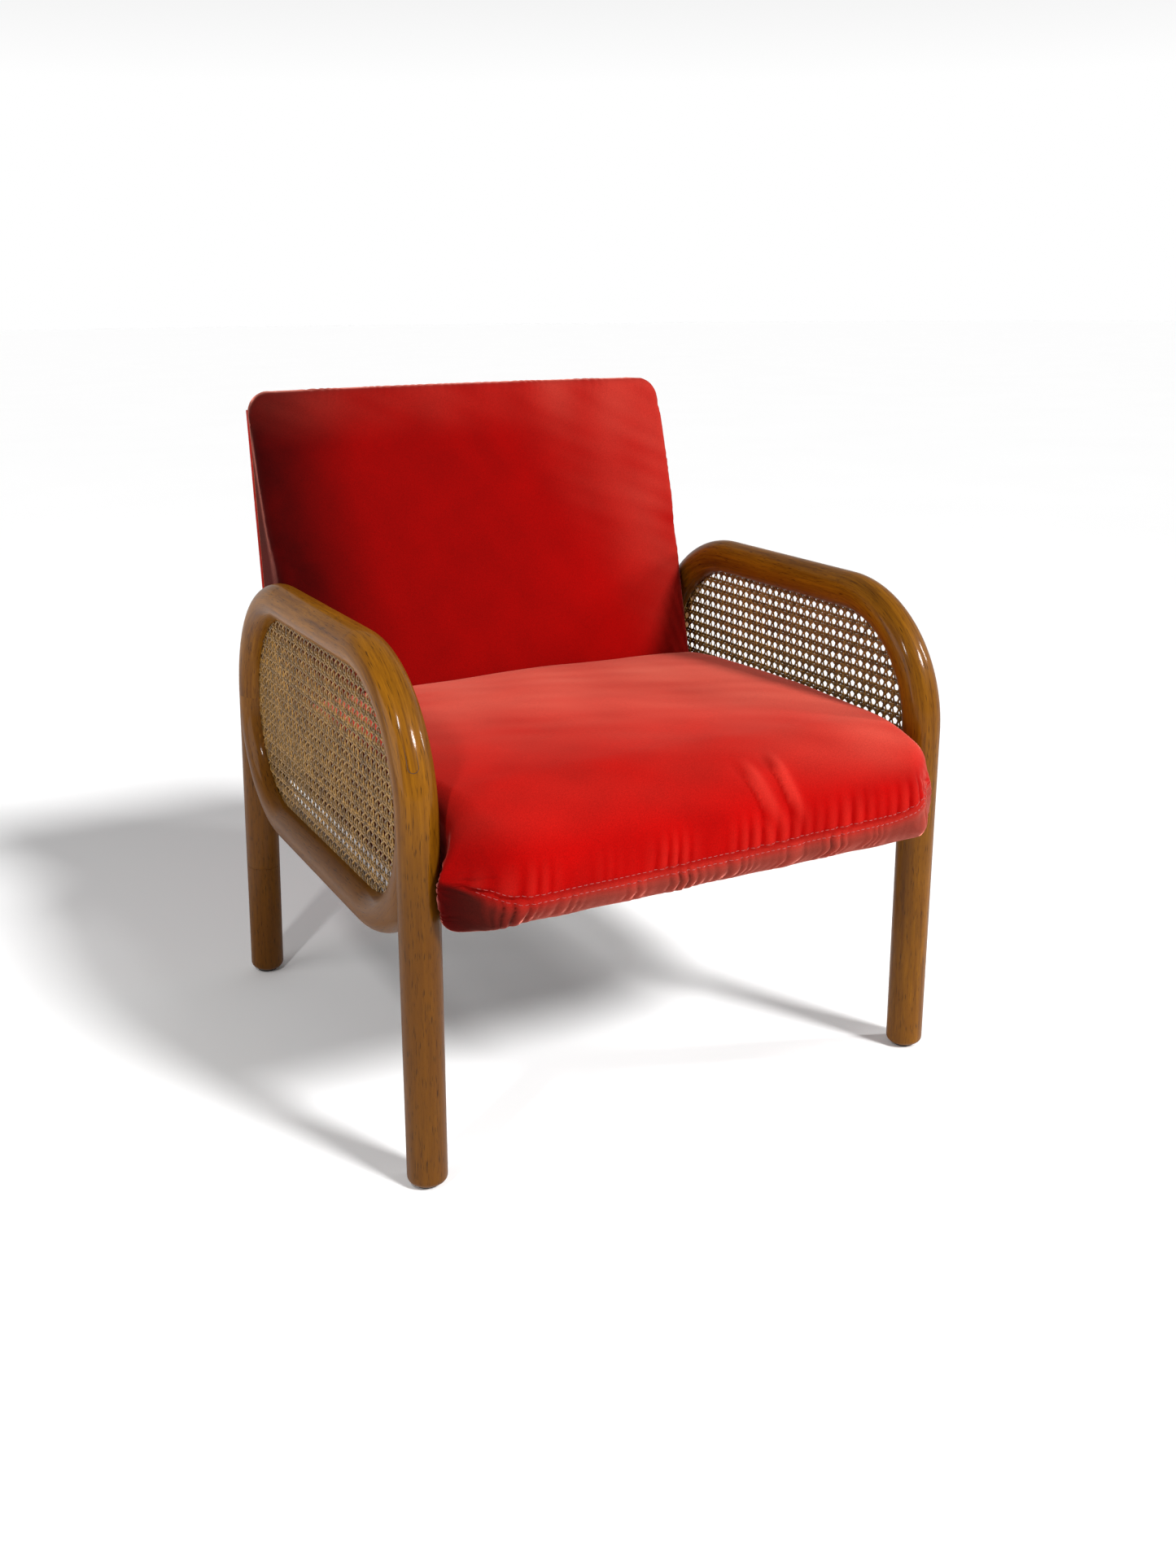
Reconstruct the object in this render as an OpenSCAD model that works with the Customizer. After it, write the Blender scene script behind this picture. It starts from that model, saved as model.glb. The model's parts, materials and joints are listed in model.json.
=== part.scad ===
// Upholstered armchair: two bent-pole side frames filled with woven cane,
// a sprung box seat and a raked back. Millimetres, +Z up, the chair faces -Y.

/* [Side frames] */
// Diameter of the round pole
pole_d = 40; // [36:1:44]
// Distance between the left and right poles, centre to centre at the floor
track = 590; // [560:5:640]
// Inward lean of each side frame, degrees
lean = 1.15; // [0:0.05:2]
// Distance from the front pole to the rear pole at the floor
foot_span = 548; // [520:2:580]
// Backward rake of the rear leg, degrees
rake = 5.4; // [3:0.1:7]
// Height of the arm's centre line
arm_z = 505; // [490:1:530]
// Height of the lower rail's centre line
rail_z = 246; // [235:1:255]
// Centre-line radius of the arm's front bend
arm_front_r = 130; // [110:1:131]
// Centre-line radius of the arm's rear bend
arm_rear_r = 145; // [110:1:150]
// Centre-line radius of the lower rail's front bend
rail_front_r = 128; // [90:1:128]
// Centre-line radius of the lower rail's rear bend
rail_rear_r = 116; // [90:1:116]
// Height of the joint in the rear leg
rear_joint_z = 150; // [120:1:170]
// Radius that eases the end of each leg
foot_ease = 7; // [4:1:9]

/* [Cane] */
// Thickness of the woven panel
cane_t = 2.6; // [2:0.1:3]
// Depth of the groove in the poles
groove_depth = 8; // [6:1:9]
// Width of the groove in the poles
groove_w = 5; // [4.5:0.1:6]

/* [Seat] */
// Height of the seat's crown
seat_top = 400; // [385:1:420]
// Height of the seat's lower edge
seat_base = 272; // [268:1:285]
// Height where the seat's top meets the back
seat_rear_z = 386; // [378:1:392]
// How far the front roll stands ahead of the front poles
overhang = 86; // [80:1:95]
// Width of the seat between the side frames
seat_w = 532; // [520:1:534]
// Width of the front roll, ahead of the poles
roll_w = 560; // [540:1:570]
// Height of the roll's foremost line
nose_z = 324; // [318:1:330]
// Thickness of the velvet with its lining
cover_t = 2.5; // [2:0.5:4]

/* [Back] */
// Height of the top of the back
back_top = 716; // [690:1:760]
// Width of the back
back_w = 526; // [500:1:528]
// Where the back's front face would meet the floor, behind the front poles
back_foot_y = 309; // [295:1:320]
// Slope of the front face from upright, degrees
recline = 16.2; // [14:0.1:18]
// Where the back's rear face would meet the floor
back_rear_y = 541; // [535:1:550]
// Slope of the rear face from upright, degrees
rear_slope = 1.7; // [0.5:0.1:3]
// Radius of the back's upper corners seen from the front
back_corner_r = 30; // [20:1:45]

/* [Inner frame] */
// Thickness of the pine rails
rail_t = 24; // [20:1:26]
// Height of the seat's pine rails
rail_h = 54; // [48:1:56]
// Width of one elastic strap
strap_w = 58; // [45:1:60]
// Thickness of one elastic strap
strap_t = 2; // [1.5:0.5:3]

/* [Fixings] */
// Diameter of the beech dowels
dowel_d = 12; // [10:1:14]
// Diameter of the frame bolts
bolt_d = 8; // [6:1:10]
// Diameter of the threaded inserts
insert_d = 12; // [11:1:14]
// Diameter of the floor glides
glide_d = 24; // [20:1:28]

/* [Hidden] */
$fn = 64;
pole_r = pole_d / 2;
fit_gap = 0.15;

// Bend centres in a side frame's own plane, as [depth, height]
arm_front_c = [arm_front_r, arm_z - arm_front_r];
rail_front_c = [rail_front_r, rail_z + rail_front_r];
arm_rear_c = rear_bend_c(arm_z - arm_rear_r, arm_rear_r);
rail_rear_c = rear_bend_c(rail_z + rail_rear_r, rail_rear_r);

// Heights of the seat's layers
rail_low = seat_base + 3;
rail_top = rail_low + rail_h;
strap_top = rail_top + strap_t;
felt_top = strap_top + 4;

// Box faces and structure places
seat_half = seat_w / 2;
roll_half = roll_w / 2;
back_half = back_w / 2;
box_half = seat_half - cover_t - 2;
front_rail_y = -24;
rear_rail_y = 512;
roll_start_y = -pole_r - 2.5;
stile_half = back_half - cover_t - 2;
stile_foot = rail_top + 0.5;
stile_top = back_top - 24;
seat_bolt_z = rail_low + 28;
back_bolt_z = [350, 400];

// Centre of the whole footprint, so that the origin is under the middle
foot_rise = 3;
foot_start = (foot_rise + pole_r * sin(rake)) / cos(rake);
rear_reach = foot_span - (foot_start + foot_ease) * sin(rake) + pole_r * cos(rake);
mid_y = (rear_reach - overhang) / 2;

// ---------- helpers ----------

// Centre of a bend that leaves the raked rear leg and whose own height is cz
function rear_bend_c(cz, r) =
    let (s = (cz + r * sin(rake)) / cos(rake))
    [foot_span - s * sin(rake) - r * cos(rake), cz];

// Point on a circle in the side frame's plane
function on_circle(c, r, a) = c + r * [cos(a), sin(a)];

// Points along an arc, from angle a to angle b in n steps
function arc(c, r, a, b, n = 12) = [for (i = [0:n]) on_circle(c, r, a + (b - a) * i / n)];

// Depth of the back's front and rear faces at a height
function back_front(z) = back_foot_y + z * tan(recline);
function back_rear(z) = back_rear_y + z * tan(rear_slope);

// Depth of the raked rear pole's centre line at a height
function rear_pole_y(z) =
    z < arm_rear_c[1]
        ? foot_span - z * tan(rake)
        : arm_rear_c[0] + sqrt(pow(arm_rear_r, 2) - pow(z - arm_rear_c[1], 2));

// Half of the distance between the poles at a height
function pole_x(z) = track / 2 - z * tan(lean);

// Outline inside the bent poles; a negative inset reaches into the groove
function opening(inset) = concat(
    arc(arm_front_c, arm_front_r - pole_r - inset, 180, 90),
    arc(arm_rear_c, arm_rear_r - pole_r - inset, 90, rake),
    arc(rail_rear_c, rail_rear_r - pole_r - inset, rake, -90),
    arc(rail_front_c, rail_front_r - pole_r - inset, 270, 180));

// Turns a shape drawn in depth and height, extruded along X
module in_yz() rotate([90, 0, 90]) children();

// Extrudes a depth and height outline across the chair, centred
module across(width) in_yz() linear_extrude(width, center = true) children();

// Puts a flat side frame in its place; side is -1 for left and 1 for right
module side_frame(side)
    translate([side * track / 2, 0, 0]) rotate([0, -side * lean, 0]) children();

// A box from its lowest corner to its highest corner
module block(low, high) translate(low) cube(high - low);

// A straight pole between two points of the side frame's plane. The groove,
// when asked for, faces the left hand of someone walking from one to the other.
module straight(from, to, d = pole_d, groove = false) {
    run = to - from;
    in_yz() translate(from) rotate([0, 0, atan2(run[1], run[0])]) rotate([0, 90, 0])
        linear_extrude(norm(run)) difference() {
            circle(d = d);
            if (groove) translate([-groove_w / 2, pole_r - groove_depth]) square([groove_w, pole_r]);
        }
}

// A bent pole about a centre, from angle a to angle b, grooved on its inner side
module bend(c, r, a, b)
    in_yz() translate(c) rotate([0, 0, a]) rotate_extrude(angle = b - a)
        translate([r, 0]) difference() {
            circle(d = pole_d);
            translate([-2 * pole_r + groove_depth, -groove_w / 2]) square([pole_r, groove_w]);
        }

// A disc that carries a bend's groove on into the upright it merges with
module groove_disc(c, r)
    in_yz() translate(c) cylinder(r = r - pole_r + groove_depth, h = groove_w, center = true);

// A post that stands on an eased foot
module post(length) {
    foot = concat([[0, 0]], arc([pole_r - foot_ease, foot_ease], foot_ease, -90, 0, 6),
                  [[pole_r, length], [0, length]]);
    rotate_extrude() polygon(foot);
}

// Every dowel of a side frame as [middle, direction in degrees, half its length]
rear_joint = [foot_span - rear_joint_z * tan(rake), rear_joint_z];
DOWELS = [
    [[0, arm_front_c[1]], 90, 26],
    [[arm_front_c[0], arm_z], 0, 26],
    [[arm_rear_c[0], arm_z], 0, 26],
    [on_circle(arm_rear_c, arm_rear_r, rake), 90 + rake, 26],
    [rear_joint, 90 + rake, 28],
    [[rail_front_c[0], rail_z], 0, 26],
    [[rail_rear_c[0], rail_z], 0, 26],
    [on_circle(rail_front_c, rail_front_r + 8, 215), 215, 22],
    [on_circle(rail_rear_c, rail_rear_r + 8, rake - 35), rake - 35, 22]
];

// The listed dowels of one side frame, grown by gap for their holes
module dowel_set(numbers, gap)
    for (i = numbers) {
        reach = (DOWELS[i][2] + gap) * [cos(DOWELS[i][1]), sin(DOWELS[i][1])];
        straight(DOWELS[i][0] - reach, DOWELS[i][0] + reach, dowel_d + 2 * gap);
    }

// Places its children on each bolt's axis, at the pole's middle, pointing outwards
module at_bolts(places, side)
    for (p = places)
        translate([side * pole_x(p[1]), p[0], p[1]]) rotate([0, side * 90, 0]) children();

// [depth, height] of the seat's bolts and of the back's bolts
seat_bolt_places = [[0, seat_bolt_z], [rear_pole_y(seat_bolt_z), seat_bolt_z]];
back_bolt_places = [for (z = back_bolt_z) [rear_pole_y(z), z]];
all_bolt_places = concat(seat_bolt_places, back_bolt_places);

// A hole from inside the box to the insert, used for every bolted piece
module bolt_holes(places, d, from, to)
    for (side = [-1, 1]) at_bolts(places, side)
        translate([0, 0, -pole_x(0) + from]) cylinder(d = d, h = to - from);

module insert_holes(places, side)
    at_bolts(places, side) translate([0, 0, -pole_r - 3]) cylinder(d = insert_d, h = pole_r + 11);

module glide_shape(gap, sides = [-1, 1], feet = [0, foot_span])
    for (side = sides, y = feet) translate([side * (track / 2 - 0.1), y, 0]) {
        cylinder(d = glide_d + 2 * gap, h = 7 + gap);
        cylinder(d = 6 + 2 * gap, h = 24 + gap);
    }

// ---------- side frames ----------

module front_leg(side) color("peru") difference() {
    side_frame(side) difference() {
        translate([0, 0, foot_rise]) post(arm_front_c[1] - foot_rise);
        dowel_set([0, 7], fit_gap);
        groove_disc(rail_front_c, rail_front_r);
    }
    insert_holes([seat_bolt_places[0]], side);
    glide_shape(fit_gap, [side], [0]);
}

module arm_front_bend(side) color("peru") side_frame(side) difference() {
    bend(arm_front_c, arm_front_r, 90, 180);
    dowel_set([0, 1], fit_gap);
}

module arm_rest(side) color("sandybrown") side_frame(side) difference() {
    straight([arm_rear_c[0], arm_z], [arm_front_c[0], arm_z], groove = true);
    dowel_set([1, 2], fit_gap);
}

module arm_rear_bend(side) color("peru") difference() {
    side_frame(side) difference() {
        bend(arm_rear_c, arm_rear_r, rake, 90);
        dowel_set([2, 3], fit_gap);
    }
    insert_holes([back_bolt_places[1]], side);
}

module rear_upright(side) color("sandybrown") difference() {
    side_frame(side) difference() {
        straight(rear_joint, on_circle(arm_rear_c, arm_rear_r, rake));
        dowel_set([3, 4, 8], fit_gap);
        groove_disc(rail_rear_c, rail_rear_r);
    }
    insert_holes([seat_bolt_places[1], back_bolt_places[0]], side);
}

module rear_leg(side) color("sienna") difference() {
    side_frame(side) difference() {
        translate([0, foot_span, 0]) rotate([rake, 0, 0])
            translate([0, 0, foot_start]) post(rear_joint_z / cos(rake) - foot_start);
        dowel_set([4], fit_gap);
    }
    glide_shape(fit_gap, [side], [foot_span]);
}

// The rail's bends are scribed to the uprights, a little short of where they merge
scribe_d = pole_d + 0.8;
merge = 25;

module rail_front_bend(side) color("sienna") side_frame(side) difference() {
    bend(rail_front_c, rail_front_r, 180 + merge, 270);
    straight([0, rail_z - 60], [0, arm_front_c[1] + 20], scribe_d);
    dowel_set([5, 7], fit_gap);
}

module rail_rear_bend(side) color("sienna") side_frame(side) difference() {
    bend(rail_rear_c, rail_rear_r, -90, rake - merge);
    straight([foot_span - 120 * tan(rake), 120], on_circle(arm_rear_c, arm_rear_r, rake), scribe_d);
    dowel_set([6, 8], fit_gap);
}

module lower_rail(side) color("chocolate") side_frame(side) difference() {
    straight([rail_front_c[0], rail_z], [rail_rear_c[0], rail_z], groove = true);
    dowel_set([5, 6], fit_gap);
}

module cane_panel(side) color("wheat") side_frame(side)
    translate([side * (groove_w - cane_t) / 2, 0, 0])
        across(cane_t) polygon(opening(-groove_depth + 1));

module cane_spline(side) color("tan") side_frame(side)
    translate([-side * (cane_t + 0.1) / 2, 0, 0]) difference() {
        across(groove_w - cane_t - 0.3) polygon(opening(-groove_depth + 1));
        across(groove_w) polygon(opening(-2));
    }

module frame_dowels(side) color("burlywood") side_frame(side) dowel_set([0:8], 0);

module floor_glides() color("dimgray") glide_shape(0);

// ---------- seat ----------

// Side outline of the seat, each face moved in by inset
module seat_outline(inset) {
    low_y = -24;
    low_a = overhang + low_y - inset;
    low_b = nose_z - seat_base - inset;
    top_y = 20;
    top_a = overhang + top_y - inset;
    top_b = seat_top - nose_z - inset;
    steps = 10;
    rear_z = seat_rear_z - inset;
    polygon(concat(
        [for (i = [0:steps], a = 90 * i / steps) [low_y - low_a * sin(a), nose_z - low_b * cos(a)]],
        [for (i = [1:steps], a = 90 * i / steps) [top_y - top_a * cos(a), nose_z + top_b * sin(a)]],
        [[220, seat_top - inset], [340, seat_top - 4 - inset],
         [back_front(rear_z) - 1 - inset, rear_z],
        [back_front(seat_base) - 1 - inset, seat_base + inset]]));
}

// The seat's body: narrow between the poles, wide ahead of them
module seat_body(inset) {
    intersection() {
        across(seat_w - 2 * inset) seat_outline(inset);
        block([-400, roll_start_y - 12, 0], [400, 600, 600]);
    }
    intersection() {
        across(roll_w - 2 * inset) seat_outline(inset);
        block([-400, -200, 0], [400, roll_start_y - inset, 600]);
    }
}

// Room for the pine frame, its straps and its felt
module seat_frame_room()
    block([-box_half - 0.5, front_rail_y - 0.5, 0], [box_half + 0.5, 600, felt_top + 0.3]);

// Sides of the cover, carried on behind the seat and under the back
module seat_skirts()
    for (side = [-1, 1]) translate([side * (seat_half - cover_t / 2), 0, 0])
        across(cover_t) polygon([
            [370, seat_base], [back_rear(seat_base) - 6, seat_base],
            [back_rear(seat_rear_z - 21) - 6, seat_rear_z - 21], [370, seat_rear_z - 21]]);

module seat_cover() color("crimson") difference() {
    union() {
        seat_body(0);
        seat_skirts();
    }
    seat_body(cover_t);
    block([-box_half - 0.5, -60, 0], [box_half + 0.5, 600, seat_base + 4]);
    block([-box_half - 0.5, 200, 0], [box_half + 0.5, 600, seat_rear_z - cover_t]);
    bolt_holes(all_bolt_places, 17, 0, pole_x(0));
}

module seat_foam() color("khaki") difference() {
    seat_body(cover_t + 0.3);
    seat_frame_room();
}

module seat_felt() color("gray")
    block([-box_half, front_rail_y, strap_top + 0.1], [box_half, 395, felt_top]);

module seat_rail_front() color("tan")
    block([-box_half, front_rail_y, rail_low], [box_half, front_rail_y + rail_t, rail_top]);

module seat_rail_rear() color("tan")
    block([-box_half, rear_rail_y, rail_low], [box_half, rear_rail_y + rail_t, rail_top]);

module seat_rail(side) color("burlywood") difference() {
    block([side < 0 ? -box_half : box_half - rail_t, front_rail_y + rail_t + 0.1, rail_low],
          [side < 0 ? -box_half + rail_t : box_half, rear_rail_y - 0.1, rail_top]);
    bolt_holes(seat_bolt_places, bolt_d + 0.6, 0, pole_x(0));
}

// Glue blocks across the frame's four corners
module corner_blocks() color("burlywood")
    for (sx = [-1, 1], front = [0, 1])
        translate([sx * (box_half - rail_t - 0.1), front ? rear_rail_y - 0.1 : front_rail_y + rail_t + 0.1, 0])
            mirror([sx > 0 ? 1 : 0, 0, 0]) mirror([0, front, 0])
                difference() {
                    translate([0, 0, rail_low + 26]) linear_extrude(26)
                        polygon([[0, 0], [62, 0], [0, 62]]);
                    block_screw_axes(4.4);
                }

module block_screw_axes(d)
    for (turn = [0, 1]) mirror([turn, -turn, 0])
        translate([22, 26, rail_low + 39]) rotate([90, 0, 0]) cylinder(d = d, h = 46, $fn = 24);

module block_screws() color("gray")
    for (sx = [-1, 1], front = [0, 1])
        translate([sx * (box_half - rail_t - 0.1), front ? rear_rail_y - 0.1 : front_rail_y + rail_t + 0.1, 0])
            mirror([sx > 0 ? 1 : 0, 0, 0]) mirror([0, front, 0])
                translate([22, 24, rail_low + 39]) rotate([90, 0, 0]) {
                    cylinder(d = 4, h = 40, $fn = 24);
                    cylinder(d = 8, h = 2.5, $fn = 24);
                }

// Five elastic straps run from side to side over the seat rails
module seat_webbing() color("saddlebrown")
    for (i = [0:4])
        translate([-box_half, 10 + i * 84, rail_top + 0.05]) cube([2 * box_half, strap_w, strap_t]);

module dust_cover() color("black")
    block([-box_half + 4, front_rail_y + 4, rail_low - 1], [box_half - 4, rear_rail_y + rail_t - 4, rail_low - 0.05]);

// ---------- back ----------

// Side outline of the back, each face moved in by inset, above a foot height
module back_outline(inset, foot) {
    lean_in = inset / cos(recline);
    edge = 13;
    top = back_top - inset;
    steps = 6;
    front_c = [back_front(top - edge) + lean_in + edge, top - edge];
    rear_c = [back_rear(top - edge) - inset - edge, top - edge];
    polygon(concat(
        [[back_rear(foot) - inset, foot], [back_front(foot) + lean_in, foot]],
        arc(front_c, edge, 180 - recline, 90, steps),
        arc(rear_c, edge, 90, 0, steps)));
}

// Front outline of the back with round upper corners, extruded through the depth
module back_front_shape(inset) {
    w = back_half - inset;
    r = back_corner_r;
    top = back_top - inset;
    translate([0, 700, 0]) rotate([90, 0, 0]) linear_extrude(500)
        polygon(concat([[w, 0]], arc([w - r, top - r], r, 0, 90, 6),
                       arc([-w + r, top - r], r, 90, 180, 6), [[-w, 0]]));
}

module back_body(inset, foot) intersection() {
    across(back_w) back_outline(inset, foot);
    back_front_shape(inset);
}

// Front face of the stiles, a foam's thickness behind the velvet
function stile_front(z) = back_front(z) + 42 - 24 * (z - stile_foot) / (stile_top - stile_foot);
function stile_rear(z) = back_rear(z) - cover_t - 6;

module stile_outline() polygon([
    [stile_front(stile_foot), stile_foot], [stile_rear(stile_foot), stile_foot],
    [stile_rear(stile_top), stile_top], [stile_front(stile_top), stile_top]]);

module back_stile(side) color("tan") difference() {
    translate([side * (stile_half - rail_t / 2), 0, 0]) across(rail_t) stile_outline();
    bolt_holes(back_bolt_places, bolt_d + 0.6, 0, pole_x(0));
}

// A rail between the stiles, from height low to height high
module back_rail(low, high, depth) color("burlywood") {
    half = stile_half - rail_t - 0.1;
    across(2 * half) polygon([
        [stile_front(low) + 3, low], [stile_front(low) + 3 + depth, low],
        [stile_front(high) + 3 + depth, high], [stile_front(high) + 3, high]]);
}

module back_rail_top() back_rail(stile_top - 48, stile_top, 16);
module back_rail_middle() back_rail(500, 548, 22);
module back_rail_bottom() back_rail(stile_foot + 4, stile_foot + 50, 24);

// Four straps across the front of the stiles, laid on their slope
module back_webbing() color("saddlebrown") {
    slope = atan((stile_front(stile_top) - stile_front(stile_foot)) / (stile_top - stile_foot));
    for (z = [400, 462, 560, 622])
        translate([-stile_half, stile_front(z), z]) rotate([-slope, 0, 0])
            translate([0, -strap_t - 0.1, 0]) cube([2 * stile_half, strap_t, strap_w * 0.9]);
}

module back_cover() color("firebrick") difference() {
    back_body(0, seat_rear_z - 20);
    back_body(cover_t, 0);
    across(2 * stile_half + 1) polygon([
        [back_front(300) + 20, 300], [700, 300], [700, back_top - 22],
        [back_front(back_top - 22) + 26, back_top - 22]]);
    bolt_holes(all_bolt_places, 17, 0, pole_x(0));
}

module back_foam() color("khaki") difference() {
    back_body(cover_t + 0.3, seat_rear_z - 30);
    across(back_w + 10) polygon([
        [stile_front(stile_foot) - strap_t - 0.6, stile_foot - 5],
        [700, stile_foot - 5], [700, back_top - 18], [stile_front(stile_top) - strap_t - 0.6, back_top - 18]]);
}

// Outline of the rear board, t thick, with its outer face moved in by inset
module board(inset, t, low, high, half) {
    across(2 * half) polygon([
        [back_rear(low) - inset - t, low], [back_rear(low) - inset, low],
        [back_rear(high) - inset, high], [back_rear(high) - inset - t, high]]);
}

module back_board() color("burlywood")
    board(cover_t + 0.1, 5, rail_low, back_top - 24, stile_half - 1);

module back_board_cover() color("firebrick")
    board(0, cover_t, seat_base + 1, back_top - 30, stile_half - 0.6);

// ---------- fixings ----------

// A bolt seen from inside the box: head, then shank out to the insert
module bolts(places, inner) color("silver")
    for (side = [-1, 1]) at_bolts(places, side) translate([0, 0, -pole_x(0)]) {
        reach = pole_x(0) + 6;
        translate([0, 0, inner - 7]) cylinder(d = 15, h = 5);
        translate([0, 0, inner - 3]) cylinder(d = bolt_d, h = reach - inner + 3);
    }

module seat_bolts() bolts(seat_bolt_places, inner_of(seat_bolt_z, box_half));
module back_bolts() bolts(back_bolt_places, inner_of(375, stile_half));

// Distance from the floor track's zero to a rail's inner face, along a bolt
function inner_of(z, half) = half - rail_t + (pole_x(0) - pole_x(z));

module bolt_washers() color("lightgray")
    for (side = [-1, 1], set = [[seat_bolt_places, box_half], [back_bolt_places, stile_half]])
        at_bolts(set[0], side) translate([0, 0, -pole_x(0) + inner_of(set[0][0][1], set[1]) - 1.9])
            difference() {
                cylinder(d = 20, h = 1.6);
                translate([0, 0, -1]) cylinder(d = bolt_d + 0.4, h = 4);
            }

// Brass inserts screwed into the poles
module threaded_inserts() color("gold")
    for (side = [-1, 1]) at_bolts(all_bolt_places, side) translate([0, 0, -pole_r + 1.5])
        difference() {
            cylinder(d = insert_d - 0.2, h = 22);
            translate([0, 0, -1]) cylinder(d = bolt_d + 0.2, h = 26);
        }

// Wooden collars that carry the box off the poles
module frame_spacers() color("burlywood") difference() {
    union() {
        for (side = [-1, 1], set = [[seat_bolt_places, box_half], [back_bolt_places, stile_half]])
            for (p = set[0]) translate([side * set[1], p[0], p[1]]) rotate([0, side * 90, 0])
                translate([0, 0, 0.1]) cylinder(d = 16, h = 16);
    }
    for (side = [-1, 1]) side_frame(side) {
        straight([0, 0], [0, arm_front_c[1]], pole_d + 0.2);
        straight([foot_span, 0], [foot_span - arm_z * tan(rake), arm_z], pole_d + 0.2);
    }
    bolt_holes(all_bolt_places, bolt_d + 0.6, 0, pole_x(0));
}

// Screws that hold the rear board to the stiles
module board_screws() color("gray")
    for (side = [-1, 1], z = [420, 500, 580, 660])
        translate([side * (stile_half - rail_t / 2), back_rear(z) - cover_t - 0.4, z]) rotate([90, 0, 0])
            cylinder(d = 4, h = 24, $fn = 24);

// ---------- assembly ----------

module placed() translate([0, -mid_y, 0]) children();

placed() front_leg(-1);  // front_leg_left
placed() front_leg(1);  // front_leg_right
placed() arm_front_bend(-1);  // arm_front_bend_left
placed() arm_front_bend(1);  // arm_front_bend_right
placed() arm_rest(-1);  // arm_rest_left
placed() arm_rest(1);  // arm_rest_right
placed() arm_rear_bend(-1);  // arm_rear_bend_left
placed() arm_rear_bend(1);  // arm_rear_bend_right
placed() rear_upright(-1);  // rear_upright_left
placed() rear_upright(1);  // rear_upright_right
placed() rear_leg(-1);  // rear_leg_left
placed() rear_leg(1);  // rear_leg_right
placed() rail_front_bend(-1);  // rail_front_bend_left
placed() rail_front_bend(1);  // rail_front_bend_right
placed() lower_rail(-1);  // lower_rail_left
placed() lower_rail(1);  // lower_rail_right
placed() rail_rear_bend(-1);  // rail_rear_bend_left
placed() rail_rear_bend(1);  // rail_rear_bend_right
placed() cane_panel(-1);  // cane_panel_left
placed() cane_panel(1);  // cane_panel_right
placed() cane_spline(-1);  // cane_spline_left
placed() cane_spline(1);  // cane_spline_right
placed() frame_dowels(-1);  // frame_dowels_left
placed() frame_dowels(1);  // frame_dowels_right
placed() floor_glides();
placed() seat_rail_front();
placed() seat_rail_rear();
placed() seat_rail(-1);  // seat_rail_left
placed() seat_rail(1);  // seat_rail_right
placed() corner_blocks();
placed() seat_webbing();
placed() seat_felt();
placed() seat_foam();
placed() seat_cover();
placed() dust_cover();
placed() back_stile(-1);  // back_stile_left
placed() back_stile(1);  // back_stile_right
placed() back_rail_top();
placed() back_rail_middle();
placed() back_rail_bottom();
placed() back_webbing();
placed() back_foam();
placed() back_cover();
placed() back_board();
placed() back_board_cover();
placed() seat_bolts();
placed() back_bolts();
placed() bolt_washers();
placed() threaded_inserts();
placed() frame_spacers();
placed() block_screws();
placed() board_screws();
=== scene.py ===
# %% [markdown]
# # A velvet and cane lounge chair
# The chair has two flat side frames of bent round poles, each filled with woven
# cane, and an upholstered box seat and back bolted between them. The CAD model
# fixes every size, so each visible piece here is a surface worked out with numpy
# that fills the room of the CAD solid it stands for. All shapes are first given
# in chair millimetres: X across, Y back from the front poles' axis, Z up.

# %% Load the frame
import json
import math

import bmesh
import bpy
import numpy as np
from mathutils import Matrix, Vector


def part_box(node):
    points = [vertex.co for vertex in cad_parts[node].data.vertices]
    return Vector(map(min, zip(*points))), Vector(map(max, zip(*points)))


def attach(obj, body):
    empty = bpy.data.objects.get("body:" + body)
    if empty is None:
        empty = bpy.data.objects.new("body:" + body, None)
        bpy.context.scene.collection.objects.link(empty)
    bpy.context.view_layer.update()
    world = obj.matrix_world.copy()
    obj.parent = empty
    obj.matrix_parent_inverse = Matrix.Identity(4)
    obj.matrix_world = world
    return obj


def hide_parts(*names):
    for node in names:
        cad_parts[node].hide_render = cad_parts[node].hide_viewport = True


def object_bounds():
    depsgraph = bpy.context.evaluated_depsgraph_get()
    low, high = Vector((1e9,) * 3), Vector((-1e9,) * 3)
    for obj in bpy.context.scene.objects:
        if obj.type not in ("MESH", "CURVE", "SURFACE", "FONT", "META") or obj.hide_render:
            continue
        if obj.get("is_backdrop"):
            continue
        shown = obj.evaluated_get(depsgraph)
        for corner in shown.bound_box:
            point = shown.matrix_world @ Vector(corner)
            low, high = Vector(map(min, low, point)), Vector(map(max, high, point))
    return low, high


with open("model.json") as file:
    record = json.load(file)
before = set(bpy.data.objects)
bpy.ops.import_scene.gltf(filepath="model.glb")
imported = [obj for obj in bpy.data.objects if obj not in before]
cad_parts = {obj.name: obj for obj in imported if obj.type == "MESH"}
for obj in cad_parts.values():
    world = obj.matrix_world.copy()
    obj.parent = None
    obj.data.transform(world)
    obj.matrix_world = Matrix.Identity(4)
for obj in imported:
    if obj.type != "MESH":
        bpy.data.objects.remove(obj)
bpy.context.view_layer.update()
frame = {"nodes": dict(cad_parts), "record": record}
leg_low, leg_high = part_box("front_leg_left")
FRONT_AXIS_Y = (leg_low.y + leg_high.y) / 2
print("front poles' axis is at y =", round(FRONT_AXIS_Y, 4), "m")

# %% [markdown]
# A mesh is a list of points and a list of faces. The two helpers below hold all
# the bookkeeping: one lists the quads between the neighbours of a grid, and one
# turns points and faces into an object that rides on the chair. Every object
# sits at the origin with its place in its mesh, as the CAD nodes do.

# %% Mesh helpers
MM = 0.001


def to_row(points):
    """Chair millimetres to metres in the shared frame: scale, then shift along Y."""
    return np.asarray(points, float) * MM + np.array([0, FRONT_AXIS_Y, 0])


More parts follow.
